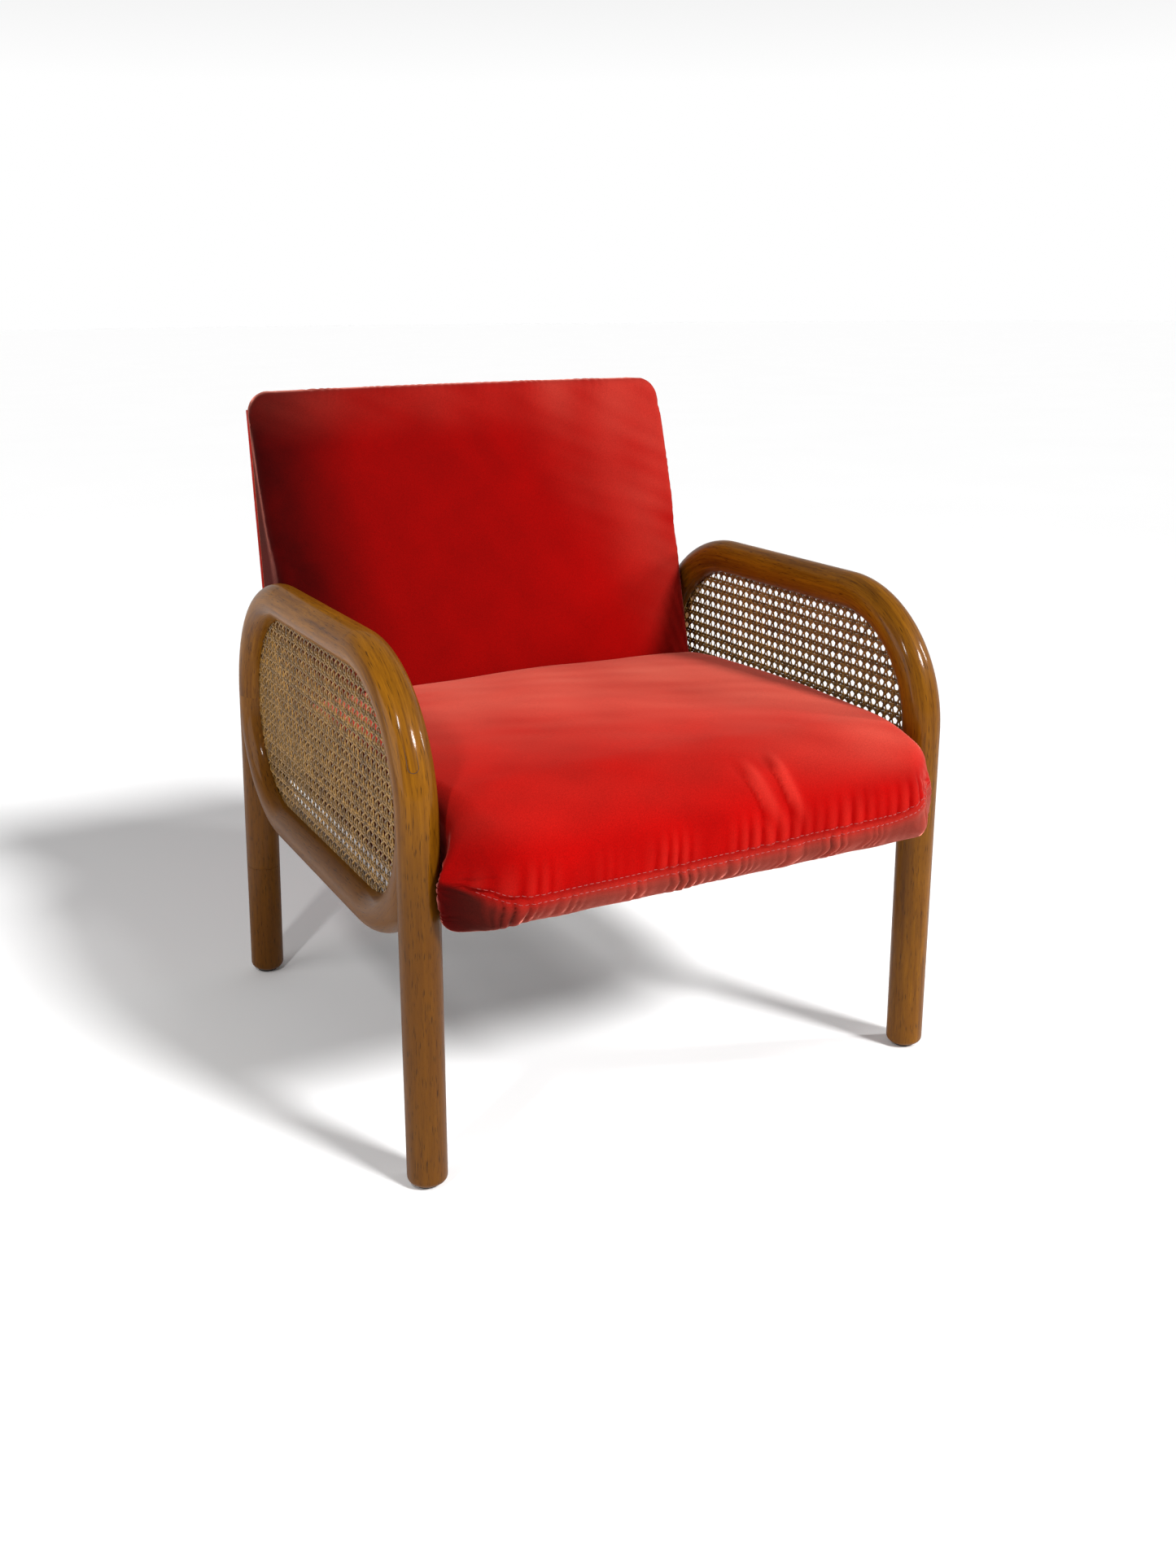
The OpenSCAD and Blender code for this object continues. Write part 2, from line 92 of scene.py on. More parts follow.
def grid_quads(rows, columns, wrap_rows=False, wrap_columns=False, start=0):
    """Quads of a rows x columns grid: each joins a point, its right neighbour, the
    point below that and the point below the first. Wrapping closes the grid."""
    i = np.arange(rows if wrap_rows else rows - 1)[:, None]
    j = np.arange(columns if wrap_columns else columns - 1)[None, :]
    down, right = (i + 1) % rows, (j + 1) % columns
    quads = [i * columns + j, i * columns + right, down * columns + right, down * columns + j]
    return (np.stack(np.broadcast_arrays(*quads), -1).reshape(-1, 4) + start).tolist()


def make_piece(name, points, faces, material, replaces=(), sharp=None, notes=None):
    """Builds a closed, smooth-shaded mesh object. notes are named values or vectors,
    one for each point, that the material reads as attributes."""
    mesh = bpy.data.meshes.new(name)
    mesh.from_pydata(to_row(points).tolist(), [], faces)
    for key, values in (notes or {}).items():
        values = np.asarray(values, np.float32)
        kind, field = ("FLOAT", "value") if values.ndim == 1 else ("FLOAT_VECTOR", "vector")
        mesh.attributes.new(key, kind, "POINT").data.foreach_set(field, values.ravel())
    shell = bmesh.new()
    shell.from_mesh(mesh)
    bmesh.ops.recalc_face_normals(shell, faces=shell.faces)
    shell.to_mesh(mesh)
    shell.free()
    mesh.shade_smooth()
    if sharp is not None:
        mesh.set_sharp_from_angle(angle=math.radians(sharp))
    mesh.materials.append(material)
    piece = bpy.data.objects.new(name, mesh)
    bpy.context.scene.collection.objects.link(piece)
    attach(piece, "root")
    if replaces:
        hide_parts(*replaces)
    print(f"{name}: {len(mesh.vertices)} points, {len(mesh.polygons)} faces")
    return piece


def unit(vectors):
    """Vectors scaled to length one along the last axis."""
    return vectors / np.linalg.norm(vectors, axis=-1)[..., None]


def ripple(x, y, size, seed, waves=7):
    """Smooth noise between about -1 and 1: the mean of plane waves that run in
    seeded directions, with wavelengths between 0.7 and 1.5 times the size."""
    rng = np.random.default_rng(seed)
    turn, phase = rng.uniform(0, 2 * np.pi, (2, waves))
    rate = 2 * np.pi / (size * rng.uniform(0.7, 1.5, waves))
    total = sum(np.sin(k * (x * np.cos(a) + y * np.sin(a)) + p)
                for k, a, p in zip(rate, turn, phase))
    return total / math.sqrt(waves / 2) / 2


def ease(value, low, high):
    """Smooth step: 0 below low, 1 above high, a cubic between; low may exceed high."""
    t = np.clip((value - low) / (high - low), 0, 1)
    return t * t * (3 - 2 * t)


# %% [markdown]
# Materials are node trees. One helper adds a node, sets its properties and fills
# its sockets with numbers or links, and one turns a screen colour such as
# `#8a5a22` into the linear light that a shader wants.

# %% Material helpers
def linear(hex_colour):
    """sRGB hex to linear RGBA: below 0.04045 divide by 12.92, above it apply the
    2.4 power curve."""
    parts = np.array([int(hex_colour[i:i + 2], 16) for i in (1, 3, 5)]) / 255
    low, high = parts / 12.92, ((parts + 0.055) / 1.055) ** 2.4
    return (*np.where(parts <= 0.04045, low, high).tolist(), 1.0)


def add(material, kind, sockets=None, **settings):
    """Adds a shader node. sockets fills inputs by name or number, settings sets
    the node's own properties."""
    made = material.node_tree.nodes.new("ShaderNode" + kind)
    for key, value in settings.items():
        setattr(made, key, value)
    for key, value in (sockets or {}).items():
        if isinstance(value, bpy.types.NodeSocket):
            material.node_tree.links.new(value, made.inputs[key])
        else:
            made.inputs[key].default_value = value
    return made


def start_material(name, **values):
    """A new material and its shader, with plain numbers set on the shader's sockets."""
    material = bpy.data.materials.new(name)
    material.use_nodes = True
    shader = material.node_tree.nodes["Principled BSDF"]
    for key, value in values.items():
        shader.inputs[key.replace("_", " ")].default_value = value
    return material, shader


def dress(material, shader, colour, relief=None):
    """Gives the shader a mixed colour and, where there is one, a bump."""
    links = material.node_tree.links
    links.new(colour.outputs[2], shader.inputs["Base Color"])
    if relief is not None:
        links.new(relief.outputs[0], shader.inputs["Normal"])


# %% [markdown]
# ## Lacquered hardwood
# The poles are a pale hardwood, stained golden brown and sprayed with a satin
# lacquer. Three things show: long soft streaks of stain, short dark pores that
# run with the fibres, and a clear thin coat that stays smooth over them. A second
# attribute paints shade: it darkens the poles below about 400 mm, the left frame
# more than the right. A pole is bent from a straight one, so the pattern reads an
# attribute that holds each point's place in the straight pole, and the grain follows
# every bend.

# %% Wood materials
def wood(name, pale, deep, pore, figure_mm=9, stretch=0.05, coat=0.0, rough=0.5,
         place="grain", pore_depth=0.25, blush=None):
    """Streaks, rings and pores, all drawn long along the third axis of the place.
    The place is an attribute in metres, or object coordinates when it is None."""
    material, shader = start_material(name, Roughness=rough, IOR=1.5, Coat_Weight=coat,
                                      Coat_Roughness=0.11, Coat_IOR=1.5)
    if place:
        spot = add(material, "Attribute", attribute_name=place).outputs["Vector"]
    else:
        spot = add(material, "TexCoord").outputs["Object"]
    along = add(material, "Mapping", {0: spot, "Scale": (1, 1, stretch)}).outputs[0]
    per_mm = 1000 / figure_mm
    broad = add(material, "TexNoise", {"Vector": along, "Scale": per_mm * 0.35, "Detail": 4,
                                       "Roughness": 0.6, "Distortion": 0.6})
    fine = add(material, "TexNoise", {"Vector": along, "Scale": per_mm * 2.6, "Detail": 5,
                                      "Roughness": 0.7})
    cloud = add(material, "TexNoise", {"Vector": spot, "Scale": 14.0, "Detail": 3})
    streak = add(material, "Math", {0: broad.outputs[0], 1: fine.outputs[0]}, operation="ADD")
    tone = add(material, "MapRange", {0: streak.outputs[0], 1: 0.78, 2: 1.26})
    stain = add(material, "Mix", {0: tone.outputs[0], 6: linear(deep), 7: linear(pale)},
                data_type="RGBA")
    patch = add(material, "MapRange", {0: cloud.outputs[0], 1: 0.35, 2: 0.7, 3: 0.0, 4: 0.45})
    warm = add(material, "Mix", {0: patch.outputs[0], 6: stain.outputs[2],
                                 7: linear(blush or pale)}, data_type="RGBA")
    if place:
        # Painted shade: the attribute mixes the lower poles, more on the left frame, towards the
        # deep colour.
        pole_painted_shade = add(material, "Attribute", attribute_name="pole_painted_shade").outputs["Fac"]
        warm = add(material, "Mix", {0: pole_painted_shade, 6: warm.outputs[2], 7: linear(deep)},
                   data_type="RGBA")
    fibre = add(material, "Mapping", {0: spot, "Scale": (1, 1, stretch * 1.4)}).outputs[0]
    pores = add(material, "TexNoise", {"Vector": fibre, "Scale": 1000 / 0.9, "Detail": 1})
    pored = add(material, "MapRange", {0: pores.outputs[0], 1: 0.6, 2: 0.74, 3: 0.0, 4: 0.75})
    final = add(material, "Mix", {0: pored.outputs[0], 6: warm.outputs[2], 7: linear(pore)},
                data_type="RGBA")
    bump = add(material, "Bump", {"Height": pored.outputs[0], "Strength": pore_depth,
                                  "Distance": 0.0004}, invert=True)
    dress(material, shader, final, bump)
    return material


POLE_WOOD = wood("lacquered_hardwood", "#8a5708", "#522e03", "#1c0e02", coat=0.2, rough=0.45,
                 blush="#6b3e05")
POLE_WOOD.node_tree.nodes["Principled BSDF"].inputs["Specular IOR Level"].default_value = 0.05
RAIL_PINE = wood("sawn_pine", "#dcbf8c", "#b98b4e", "#8c5e2c", figure_mm=14, stretch=0.08,
                 rough=0.75, place=None)
BEECH = wood("turned_beech", "#d9b384", "#b98a58", "#8a5a34", figure_mm=6, rough=0.6, place=None)
BIRCH_PLY = wood("birch_plywood", "#cfae7a", "#a8824f", "#7c5630", figure_mm=20, rough=0.65,
                 place=None)
print("wood finishes:", [m.name for m in (POLE_WOOD, RAIL_PINE, BEECH, BIRCH_PLY)])

# %% [markdown]
# ## The side frames
# Each frame lies in a plane that leans in by about a degree. Its poles are a
# profile carried along a path: straight runs, and arcs whose centres are the
# CAD's. A pole's outline is a circle, and where cane is let in the circle has a
# narrow notch that faces the middle of the loop. Carrying the profile by hand
# rather than with a curve object lets every point remember its place in the
# straight pole, for the grain.

# %% Side-frame sizes
POLE_R = 20.0
HALF_TRACK = 295.0
LEAN = math.radians(1.15)
FOOT_SPAN = 548.0
RAKE = math.radians(5.4)
ARM_Z, RAIL_Z = 505.0, 246.0
ARM_FRONT_R, ARM_REAR_R = 130.0, 145.0
RAIL_FRONT_R, RAIL_REAR_R = 128.0, 116.0
REAR_JOINT_Z = 150.0
FOOT_RISE, FOOT_EASE = 3.0, 7.0
GROOVE_DEPTH, GROOVE_W = 8.0, 5.0
LOOP_MIDDLE = np.array([265.0, 375.0])


def rear_centre(height, radius):
    """Centre of a bend tangent to the raked rear leg: step along the leg's line,
    then in by one radius."""
    run = (height + radius * math.sin(RAKE)) / math.cos(RAKE)
    return np.array([FOOT_SPAN - run * math.sin(RAKE) - radius * math.cos(RAKE), height])


ARM_FRONT_C = np.array([ARM_FRONT_R, ARM_Z - ARM_FRONT_R])
RAIL_FRONT_C = np.array([RAIL_FRONT_R, RAIL_Z + RAIL_FRONT_R])
ARM_REAR_C = rear_centre(ARM_Z - ARM_REAR_R, ARM_REAR_R)
RAIL_REAR_C = rear_centre(RAIL_Z + RAIL_REAR_R, RAIL_REAR_R)


def in_side_frame(points, side):
    """Leans a flat frame's points (across, depth, height) about Y and moves them out
    to their side: -1 is left, 1 is right."""
    across, depth, height = np.moveaxis(np.asarray(points, float), -1, 0)
    tilt = -side * LEAN
    return np.stack([side * HALF_TRACK + across * math.cos(tilt) + height * math.sin(tilt), depth,
                     height * math.cos(tilt) - across * math.sin(tilt)], -1)


def arc(centre, radius, start, end, step=2.5):
    """Points on a circle from one angle to another, in degrees, a few degrees apart."""
    turn = np.radians(np.linspace(start, end, max(2, int(abs(end - start) / step) + 1)))
    return np.asarray(centre) + radius * np.stack([np.cos(turn), np.sin(turn)], -1)


def run(start, end, step=12.0):
    """Points on a straight line, about a step apart."""
    start, end = np.asarray(start, float), np.asarray(end, float)
    count = max(2, int(np.linalg.norm(end - start) / step) + 1)
    return start + (end - start) * np.linspace(0, 1, count)[:, None]


rear_axis = np.array([-math.sin(RAKE), math.cos(RAKE)])
rear_foot = np.array([FOOT_SPAN, 0.0])
rear_joint = rear_foot + rear_axis * REAR_JOINT_Z / math.cos(RAKE)
rear_top = ARM_REAR_C + ARM_REAR_R * np.array([math.cos(RAKE), math.sin(RAKE)])
rear_floor = rear_foot + rear_axis * (FOOT_RISE + POLE_R * math.sin(RAKE)) / math.cos(RAKE)
print("rear joint at", rear_joint.round(1), "and rear bend centre at", ARM_REAR_C.round(1))


# %% [markdown]
# The profile is swept with rings square to the path. Where two poles are glued end to
# end in the rear leg, the last rings are drawn in by a bevel, which leaves the hairline
# of the joint; elsewhere the poles run on flush. A foot is drawn in along a quarter
# circle. The rail's bends merge with the uprights, so
# they start inside them, thinner by half a millimetre, and grow to full size.

# %% Pole maker
def pole_profile(grooved, count=56):
    """Circle of the pole as (across, inward) pairs; a grooved one breaks off at the
    notch's lips and drops to its floor."""
    if not grooved:
        turn = np.linspace(0, 2 * np.pi, count, endpoint=False)
        return POLE_R * np.stack([np.sin(turn), np.cos(turn)], -1)
    lip = math.asin(GROOVE_W / 2 / POLE_R)
    turn = np.linspace(lip, 2 * np.pi - lip, count)
    ring = POLE_R * np.stack([np.sin(turn), np.cos(turn)], -1)
    floor = POLE_R - GROOVE_DEPTH
    return np.vstack([ring, [[-GROOVE_W / 2, floor], [GROOVE_W / 2, floor]]])


def pole(name, side, path, grooved=False, foot=False, merge=None, bevel=0.0, start_along=0.0):
    """Carries the profile along the path. Ring centre = path point; ring point =
    centre + across * X + inward * the path's normal towards the loop's middle."""
    path = np.asarray(path, float)
    travel = np.concatenate([[0], np.cumsum(np.linalg.norm(np.diff(path, axis=0), axis=1))])
    length = travel[-1]
    stops = [bevel, length - bevel]
    if foot:
        turn = np.radians(np.linspace(8, 90, 7))
        stops = list(FOOT_EASE * (1 - np.cos(turn))) + [length - bevel]
    along = np.unique(np.concatenate([travel, stops]).round(4))
    centre = np.stack([np.interp(along, travel, path[:, k]) for k in (0, 1)], -1)
    tangent = unit(np.gradient(centre, along, axis=0))
    inward = np.stack([-tangent[:, 1], tangent[:, 0]], -1)
    inward *= np.sign(((LOOP_MIDDLE - centre) * inward).sum(1).mean())
    shrink = np.ones(len(along))
    shrink[0] = shrink[-1] = 1 - bevel / POLE_R
    if foot:
        inset = np.clip(1 - along / FOOT_EASE, 0, 1)
        shrink -= FOOT_EASE / POLE_R * (1 - np.sqrt(1 - inset ** 2))
    if merge is not None:
        gap = along if merge == "start" else length - along
        shrink = 1 - 0.025 * (1 - ease(gap, 0, 45))
    profile = pole_profile(grooved)
    across = profile[None, :, 0] * shrink[:, None]
    into = profile[None, :, 1] * shrink[:, None]
    flat = np.stack([across, centre[:, None, 0] + into * inward[:, None, 0],
                     centre[:, None, 1] + into * inward[:, None, 1]], -1)
    points = in_side_frame(flat, side).reshape(-1, 3)
    rings, count = across.shape
    faces = grid_quads(rings, count, wrap_columns=True)
    faces += [list(range(count))[::-1], list(range((rings - 1) * count, rings * count))]
    grain = np.stack([across, into, np.broadcast_to(along[:, None], across.shape)], -1)
    grain = grain.reshape(-1, 3) * MM + np.array([0, 0, start_along])
    # Painted shade: stronger on the left frame than the right, fading in between 290 and 410 mm
    # up.
    notes = {"grain": grain, "pole_painted_shade": (0.45 - 0.25 * side) * ease(points[:, 2], 410, 290)}
    return make_piece(f"{name}_pole", points, faces, POLE_WOOD, replaces=[name],
                      sharp=38, notes=notes)


# %% Poles of both side frames
for side, word in ((-1, "left"), (1, "right")):
    lot = 3.0 if side < 0 else 11.0
    leg_end = lot + (ARM_FRONT_C[1] - FOOT_RISE) * MM
    bend_end = leg_end + ARM_FRONT_R * math.pi / 2 * MM
    rest_end = bend_end + (ARM_REAR_C[0] - ARM_FRONT_C[0]) * MM
    rake, groove = math.degrees(RAKE), {"grooved": True}
    merged = {"grooved": True, "merge": "start"}
    for part, path, start_along, form in (
            ("front_leg", run([0, FOOT_RISE], [0, ARM_FRONT_C[1] + 1]), lot, {"foot": True}),
            ("arm_front_bend", arc(ARM_FRONT_C, ARM_FRONT_R, 180, 90), leg_end, groove),
            ("arm_rest", run([ARM_FRONT_C[0], ARM_Z], [ARM_REAR_C[0], ARM_Z]), bend_end, groove),
            ("arm_rear_bend", arc(ARM_REAR_C, ARM_REAR_R, 90, rake), rest_end, groove),
            ("rear_upright", run(rear_joint, rear_top), lot + 4, {"bevel": 0.3}),
            ("rear_leg", run(rear_floor, rear_joint), lot + 5, {"foot": True, "bevel": 0.3}),
            ("rail_front_bend", arc(RAIL_FRONT_C, RAIL_FRONT_R, 180, 270), lot + 6, merged),
            ("lower_rail", run([RAIL_FRONT_C[0], RAIL_Z], [RAIL_REAR_C[0], RAIL_Z]), lot + 7,
             groove),
            ("rail_rear_bend", arc(RAIL_REAR_C, RAIL_REAR_R, rake, -90), lot + 8, merged)):
        pole(f"{part}_{word}", side, path, start_along=start_along, **form)

# %% [markdown]
# A bent pole is screwed to its jig, and the screw hole is filled with a plug. On the
# left front bend the edge of a long plug still shows as a thin dark line with a round
# lower end. It is a very fine tube, mostly sunk in the wood.

# %% Plug line
def on_bend(side, along, around):
    """A point of the front bend's surface from two angles in radians: along is counted
    from the top of the leg, and around from the outermost line of the pole."""
    reach = ARM_FRONT_R + POLE_R * np.cos(around)
    turn = math.pi - along
    flat = np.stack([POLE_R * np.sin(around), ARM_FRONT_C[0] + reach * np.cos(turn),
                     ARM_FRONT_C[1] + reach * np.sin(turn)], -1)
    return in_side_frame(flat, side)


half_circle = np.linspace(0, np.pi, 13)
arm = np.linspace(24, 0, 13)[:-1]
plug_up = np.concatenate([arm, -5 * np.sin(half_circle), arm[::-1] * 0.7])
plug_wide = np.concatenate([0 * arm - 5, -5 * np.cos(half_circle), 0 * arm + 5])
plug_spot = (0.36 + plug_up / 150, -0.27 + plug_wide / POLE_R)
plug_path = on_bend(-1, *plug_spot)
plug_out = unit(plug_path - on_bend(-1, plug_spot[0], plug_spot[1] + math.pi))
plug_flank = np.cross(unit(np.gradient(plug_path, axis=0)), plug_out)
count = len(plug_path)
taper = np.interp(np.linspace(0, 1, count), [0, 0.2, 0.5, 0.8, 1], [0.05, 0.28, 0.34, 0.26, 0.05])
TUBE_SIDES = 6
turn = np.linspace(0, 2 * np.pi, TUBE_SIDES, endpoint=False)
plug_tube = (plug_path[:, None] - 0.08 * plug_out[:, None] + taper[:, None, None] * (
    np.cos(turn)[:, None] * plug_out[:, None] + np.sin(turn)[:, None] * plug_flank[:, None]))
faces = grid_quads(count, TUBE_SIDES, wrap_columns=True)
faces += [list(range(TUBE_SIDES))[::-1], list(range((count - 1) * TUBE_SIDES, count * TUBE_SIDES))]
FILLER = wood("wood_filler", "#3a1d06", "#241003", "#140902", figure_mm=2, rough=0.6, place=None)
make_piece("plug_edge_line", plug_tube.reshape(-1, 3), faces, FILLER)

# %% [markdown]
# ## Split cane
# Cane is the glossy bark of rattan, peeled off in strips nearly three millimetres
# wide. The six-way weave has pairs of upright and level strips that pass over and
# under each other at every 12.7 mm, and single strips on both diagonals that slip
# between the layers and leave eight-sided holes. The strips are made one by one,
# each a thin lens-shaped profile that follows the waves of the weave, so light and
# shadow fall through the real holes.

# %% Cane material
CANE, shader = start_material("split_cane", Roughness=0.42, IOR=1.5, Coat_Weight=0.12,
                              Coat_Roughness=0.25)
strip = add(CANE, "Attribute", attribute_name="strip").outputs["Vector"]
parts = add(CANE, "SeparateXYZ", {0: strip})
stretched = add(CANE, "Mapping", {0: strip, "Scale": (40, 1, 1)}).outputs[0]
fibre = add(CANE, "TexNoise", {"Vector": stretched, "Scale": 90.0, "Detail": 4})
shade = add(CANE, "Math", {0: parts.outputs[0], 1: fibre.outputs[0]}, operation="ADD")
mix = add(CANE, "MapRange", {0: shade.outputs[0], 1: 0.4, 2: 1.6})
tan = add(CANE, "Mix", {0: mix.outputs[0], 6: linear("#523710"), 7: linear("#9c7332")},
          data_type="RGBA")
dress(CANE, shader, tan)

# %% Cane weave
PITCH = 12.7
PAIR_HALF = 1.55
STRIP_W, STRIP_T = 2.85, 1.25
LIFT, SLANT_LIFT = 0.95, 1.15
OFF_PLANE = 1.2


def opening(grow):
    """Inner outline of the bent poles, grown outwards into the groove."""
    rake = math.degrees(RAKE)
    arcs = [(ARM_FRONT_C, ARM_FRONT_R, 180, 90), (ARM_REAR_C, ARM_REAR_R, 90, rake),
            (RAIL_REAR_C, RAIL_REAR_R, rake, -90), (RAIL_FRONT_C, RAIL_FRONT_R, 270, 180)]
    return np.vstack([arc(c, r - POLE_R + grow, a, b, 4) for c, r, a, b in arcs])


def clip(origin, heading, outline):
    """Where lines enter and leave a convex outline: the largest entry and smallest
    exit over all of its edges."""
    edge = np.roll(outline, -1, 0) - outline
    normal = np.stack([-edge[:, 1], edge[:, 0]], -1)
    normal *= np.sign(((outline.mean(0) - outline) * normal).sum(1))[:, None]
    reach = ((outline[None] - origin[:, None]) * normal[None]).sum(-1)
    speed = (normal @ heading)[None].repeat(len(origin), 0)
    at = reach / np.where(np.abs(speed) < 1e-9, 1e-9, speed)
    enter = np.where(speed > 1e-9, at, -1e9).max(1)
    leave = np.where(speed < -1e-9, at, 1e9).min(1)
    return enter, leave


def strips(name, side, origins, heading, stations, wave, seed):
    """Strips along one heading. Each has rings at the shared stations that fall inside
    the opening, and one at either end; the wave gives its height at each station."""
    outline = opening(GROOVE_DEPTH - 1)
    enter, leave = clip(origins, heading, outline)
    keep = leave - enter > 8
    origins, enter, leave, lift = origins[keep], enter[keep], leave[keep], wave[keep]
    inside = (stations[None] > enter[:, None] + 0.4) & (stations[None] < leave[:, None] - 0.4)
    padded = np.pad(inside, ((0, 0), (1, 1)))
    first = padded.argmax(1) - 1
    last = padded.shape[1] - padded[:, ::-1].argmax(1)
    along = np.pad(np.broadcast_to(stations, inside.shape), ((0, 0), (1, 1)))
    lift = np.pad(lift, ((0, 0), (1, 1)), mode="edge")
    row = np.arange(len(origins))
    along[row, first], along[row, last] = enter, leave
    padded[row, first] = padded[row, last] = True
    rng = np.random.default_rng(seed)
    tone = rng.uniform(0, 1, len(origins))
    drift = rng.uniform(-0.25, 0.25, len(origins))
    flank = np.array([-heading[1], heading[0]])
    lens = np.array([[-STRIP_W / 2, 0], [0, STRIP_T / 2], [STRIP_W / 2, 0], [0, -STRIP_T / 2]])
    middle = origins[:, None] + along[..., None] * heading + drift[:, None, None] * flank
    offset = lens[:, 0][None, None, :, None] * flank
    plane = middle[:, :, None] + offset
    height = lift[:, :, None] + lens[None, None, :, 1] + side * OFF_PLANE
    flat = np.concatenate([height[..., None], plane], -1)
    notes = np.stack(np.broadcast_arrays(tone[:, None, None], along[:, :, None] * MM,
                                         lens[None, None, :, 0] * MM), -1)
    index = (np.cumsum(padded.ravel()) - 1).reshape(padded.shape)
    pair = padded[:, :-1] & padded[:, 1:]
    here, ahead = index[:, :-1][pair] * 4, index[:, 1:][pair] * 4
    k = np.arange(4)
    quads = np.stack([here[:, None] + k, here[:, None] + (k + 1) % 4,
                      ahead[:, None] + (k + 1) % 4, ahead[:, None] + k], -1).reshape(-1, 4)
    ends = np.concatenate([index[row, first][:, None] * 4 + k[::-1],
                           index[row, last][:, None] * 4 + k])
    points = in_side_frame(flat[padded], side).reshape(-1, 3)
    faces = np.vstack([quads, ends]).tolist()
    return make_piece(name, points, faces, CANE,
                      notes={"strip": notes[padded].reshape(-1, 3)})


def lattice(low, high, offsets):
    """Every whole pitch between two limits, shifted by each offset, in order. Returns
    each place's offset and the place."""
    cells = np.arange(math.floor(low / PITCH) - 1, math.ceil(high / PITCH) + 2)
    offset = np.tile(offsets, len(cells))
    return offset, np.repeat(cells, len(offsets)) * PITCH + offset


def bump_wave(offset):
    """Height of a strip that goes over the first and under the second of a pair."""
    return -np.sign(offset) * (np.abs(offset) < PITCH / 3)


for side, word in ((-1, "left"), (1, "right")):
    beat = np.array([-PAIR_HALF, 0, PAIR_HALF, PITCH / 2])
    pair = np.array([-PAIR_HALF, PAIR_HALF])
    up_beat, up_at = lattice(220, 520, beat)
    back_beat, back_at = lattice(0, 560, beat)
    up_pair, up_x = lattice(0, 560, pair)
    row_pair, row_z = lattice(220, 520, pair)
    uprights = strips(f"cane_uprights_{word}", side, np.stack([up_x, 0 * up_x], -1),
                      np.array([0.0, 1.0]), up_at,
                      LIFT * np.sign(up_pair)[:, None] * bump_wave(up_beat)[None], 21 + side)
    strips(f"cane_rows_{word}", side, np.stack([0 * row_z, row_z], -1), np.array([1.0, 0.0]),
           back_at, -LIFT * np.sign(row_pair)[:, None] * bump_wave(back_beat)[None], 31 + side)
    part, at = lattice(-40, 600, np.arange(0, 4) * PITCH / 4)
    for turn, way, low, high in ((1, "rising", -620, 560), (-1, "falling", 180, 1120)):
        _, start = lattice(low, high, np.array([PITCH / 2]))
        wave = turn * SLANT_LIFT * np.cos(2 * np.pi * part / PITCH)
        strips(f"cane_slants_{way}_{word}", side, np.stack([0 * start, start], -1),
               np.array([1.0, turn]) / math.sqrt(2), at * math.sqrt(2),
               np.broadcast_to(wave, (len(start), len(wave))), 41 + side + turn)
    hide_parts(f"cane_panel_{word}")

# %% [markdown]
# ## Velvet
# Cotton velvet has a short upright pile. Looked at square on it swallows light and
# shows a deep, saturated red; seen along the surface the tips of the pile catch the
# light and it turns pale and pinkish. That is what a shader's sheen layer does. Each
# piece also carries painted shade and light as an attribute, from 0, painted shade
# and dark, to 1, painted light and bright, with soft random clouds in it. A second
# attribute paints a pale pink sheen over it. The pile itself is a fine grain of
# bumps.

# %% Velvet material
VELVET, shader = start_material("cotton_velvet", Roughness=0.9, IOR=1.45,
                                Sheen_Weight=1.0, Sheen_Roughness=0.24)
shader.inputs["Specular IOR Level"].default_value = 0.05
shader.inputs["Sheen Tint"].default_value = linear("#ff9a88")
place = add(VELVET, "TexCoord").outputs["Object"]
painted_light_input = add(VELVET, "Attribute", attribute_name="painted_light_and_tone").outputs["Fac"]
clouds = add(VELVET, "TexNoise", {"Vector": place, "Scale": 12.0, "Detail": 6, "Roughness": 0.6,
                                  "Distortion": 0.5})
drift = add(VELVET, "MapRange", {0: clouds.outputs[0], 1: 0.3, 2: 0.7, 3: -0.03, 4: 0.03})
painted_light_and_tone = add(VELVET, "Math", {0: painted_light_input, 1: drift.outputs[0]}, operation="ADD", use_clamp=True)
# Painted shade and light: the attribute mixes from a near-black red, painted shade, to a bright
# red, painted light.
painted_shade_red = add(VELVET, "Mix", {0: painted_light_and_tone.outputs[0], 6: linear("#2a0000"), 7: linear("#be0402")},
          data_type="RGBA")
# Painted sheen: the second attribute pales the red towards pink.
painted_sheen = add(VELVET, "Attribute", attribute_name="painted_sheen").outputs["Fac"]
painted_sheen_colour = add(VELVET, "Mix", {0: painted_sheen, 6: painted_shade_red.outputs[2], 7: linear("#e8705c")}, data_type="RGBA")
pile = add(VELVET, "TexNoise", {"Vector": place, "Scale": 1000 / 1.2, "Detail": 2})
tips = add(VELVET, "MapRange", {0: pile.outputs[0], 1: 0.3, 2: 0.7, 3: 0.86, 4: 1.12})
toned = add(VELVET, "Mix", {0: 1.0, 6: painted_sheen_colour.outputs[2], 7: tips.outputs[0]}, data_type="RGBA",
            blend_type="MULTIPLY")
fluff = add(VELVET, "Bump", {"Height": pile.outputs[0], "Strength": 0.25, "Distance": 0.0005})
dress(VELVET, shader, toned, fluff)

THREAD, shader = start_material("polyester_thread", Roughness=0.5, Sheen_Weight=0.4,
                                Sheen_Roughness=0.4)
place = add(THREAD, "TexCoord").outputs["Object"]
twist = add(THREAD, "TexWave", {"Vector": place, "Scale": 1200.0, "Distortion": 1.0})
ply = add(THREAD, "Mix", {0: twist.outputs[1], 6: linear("#7a1012"), 7: linear("#b03a36")},
          data_type="RGBA")
dress(THREAD, shader, ply)

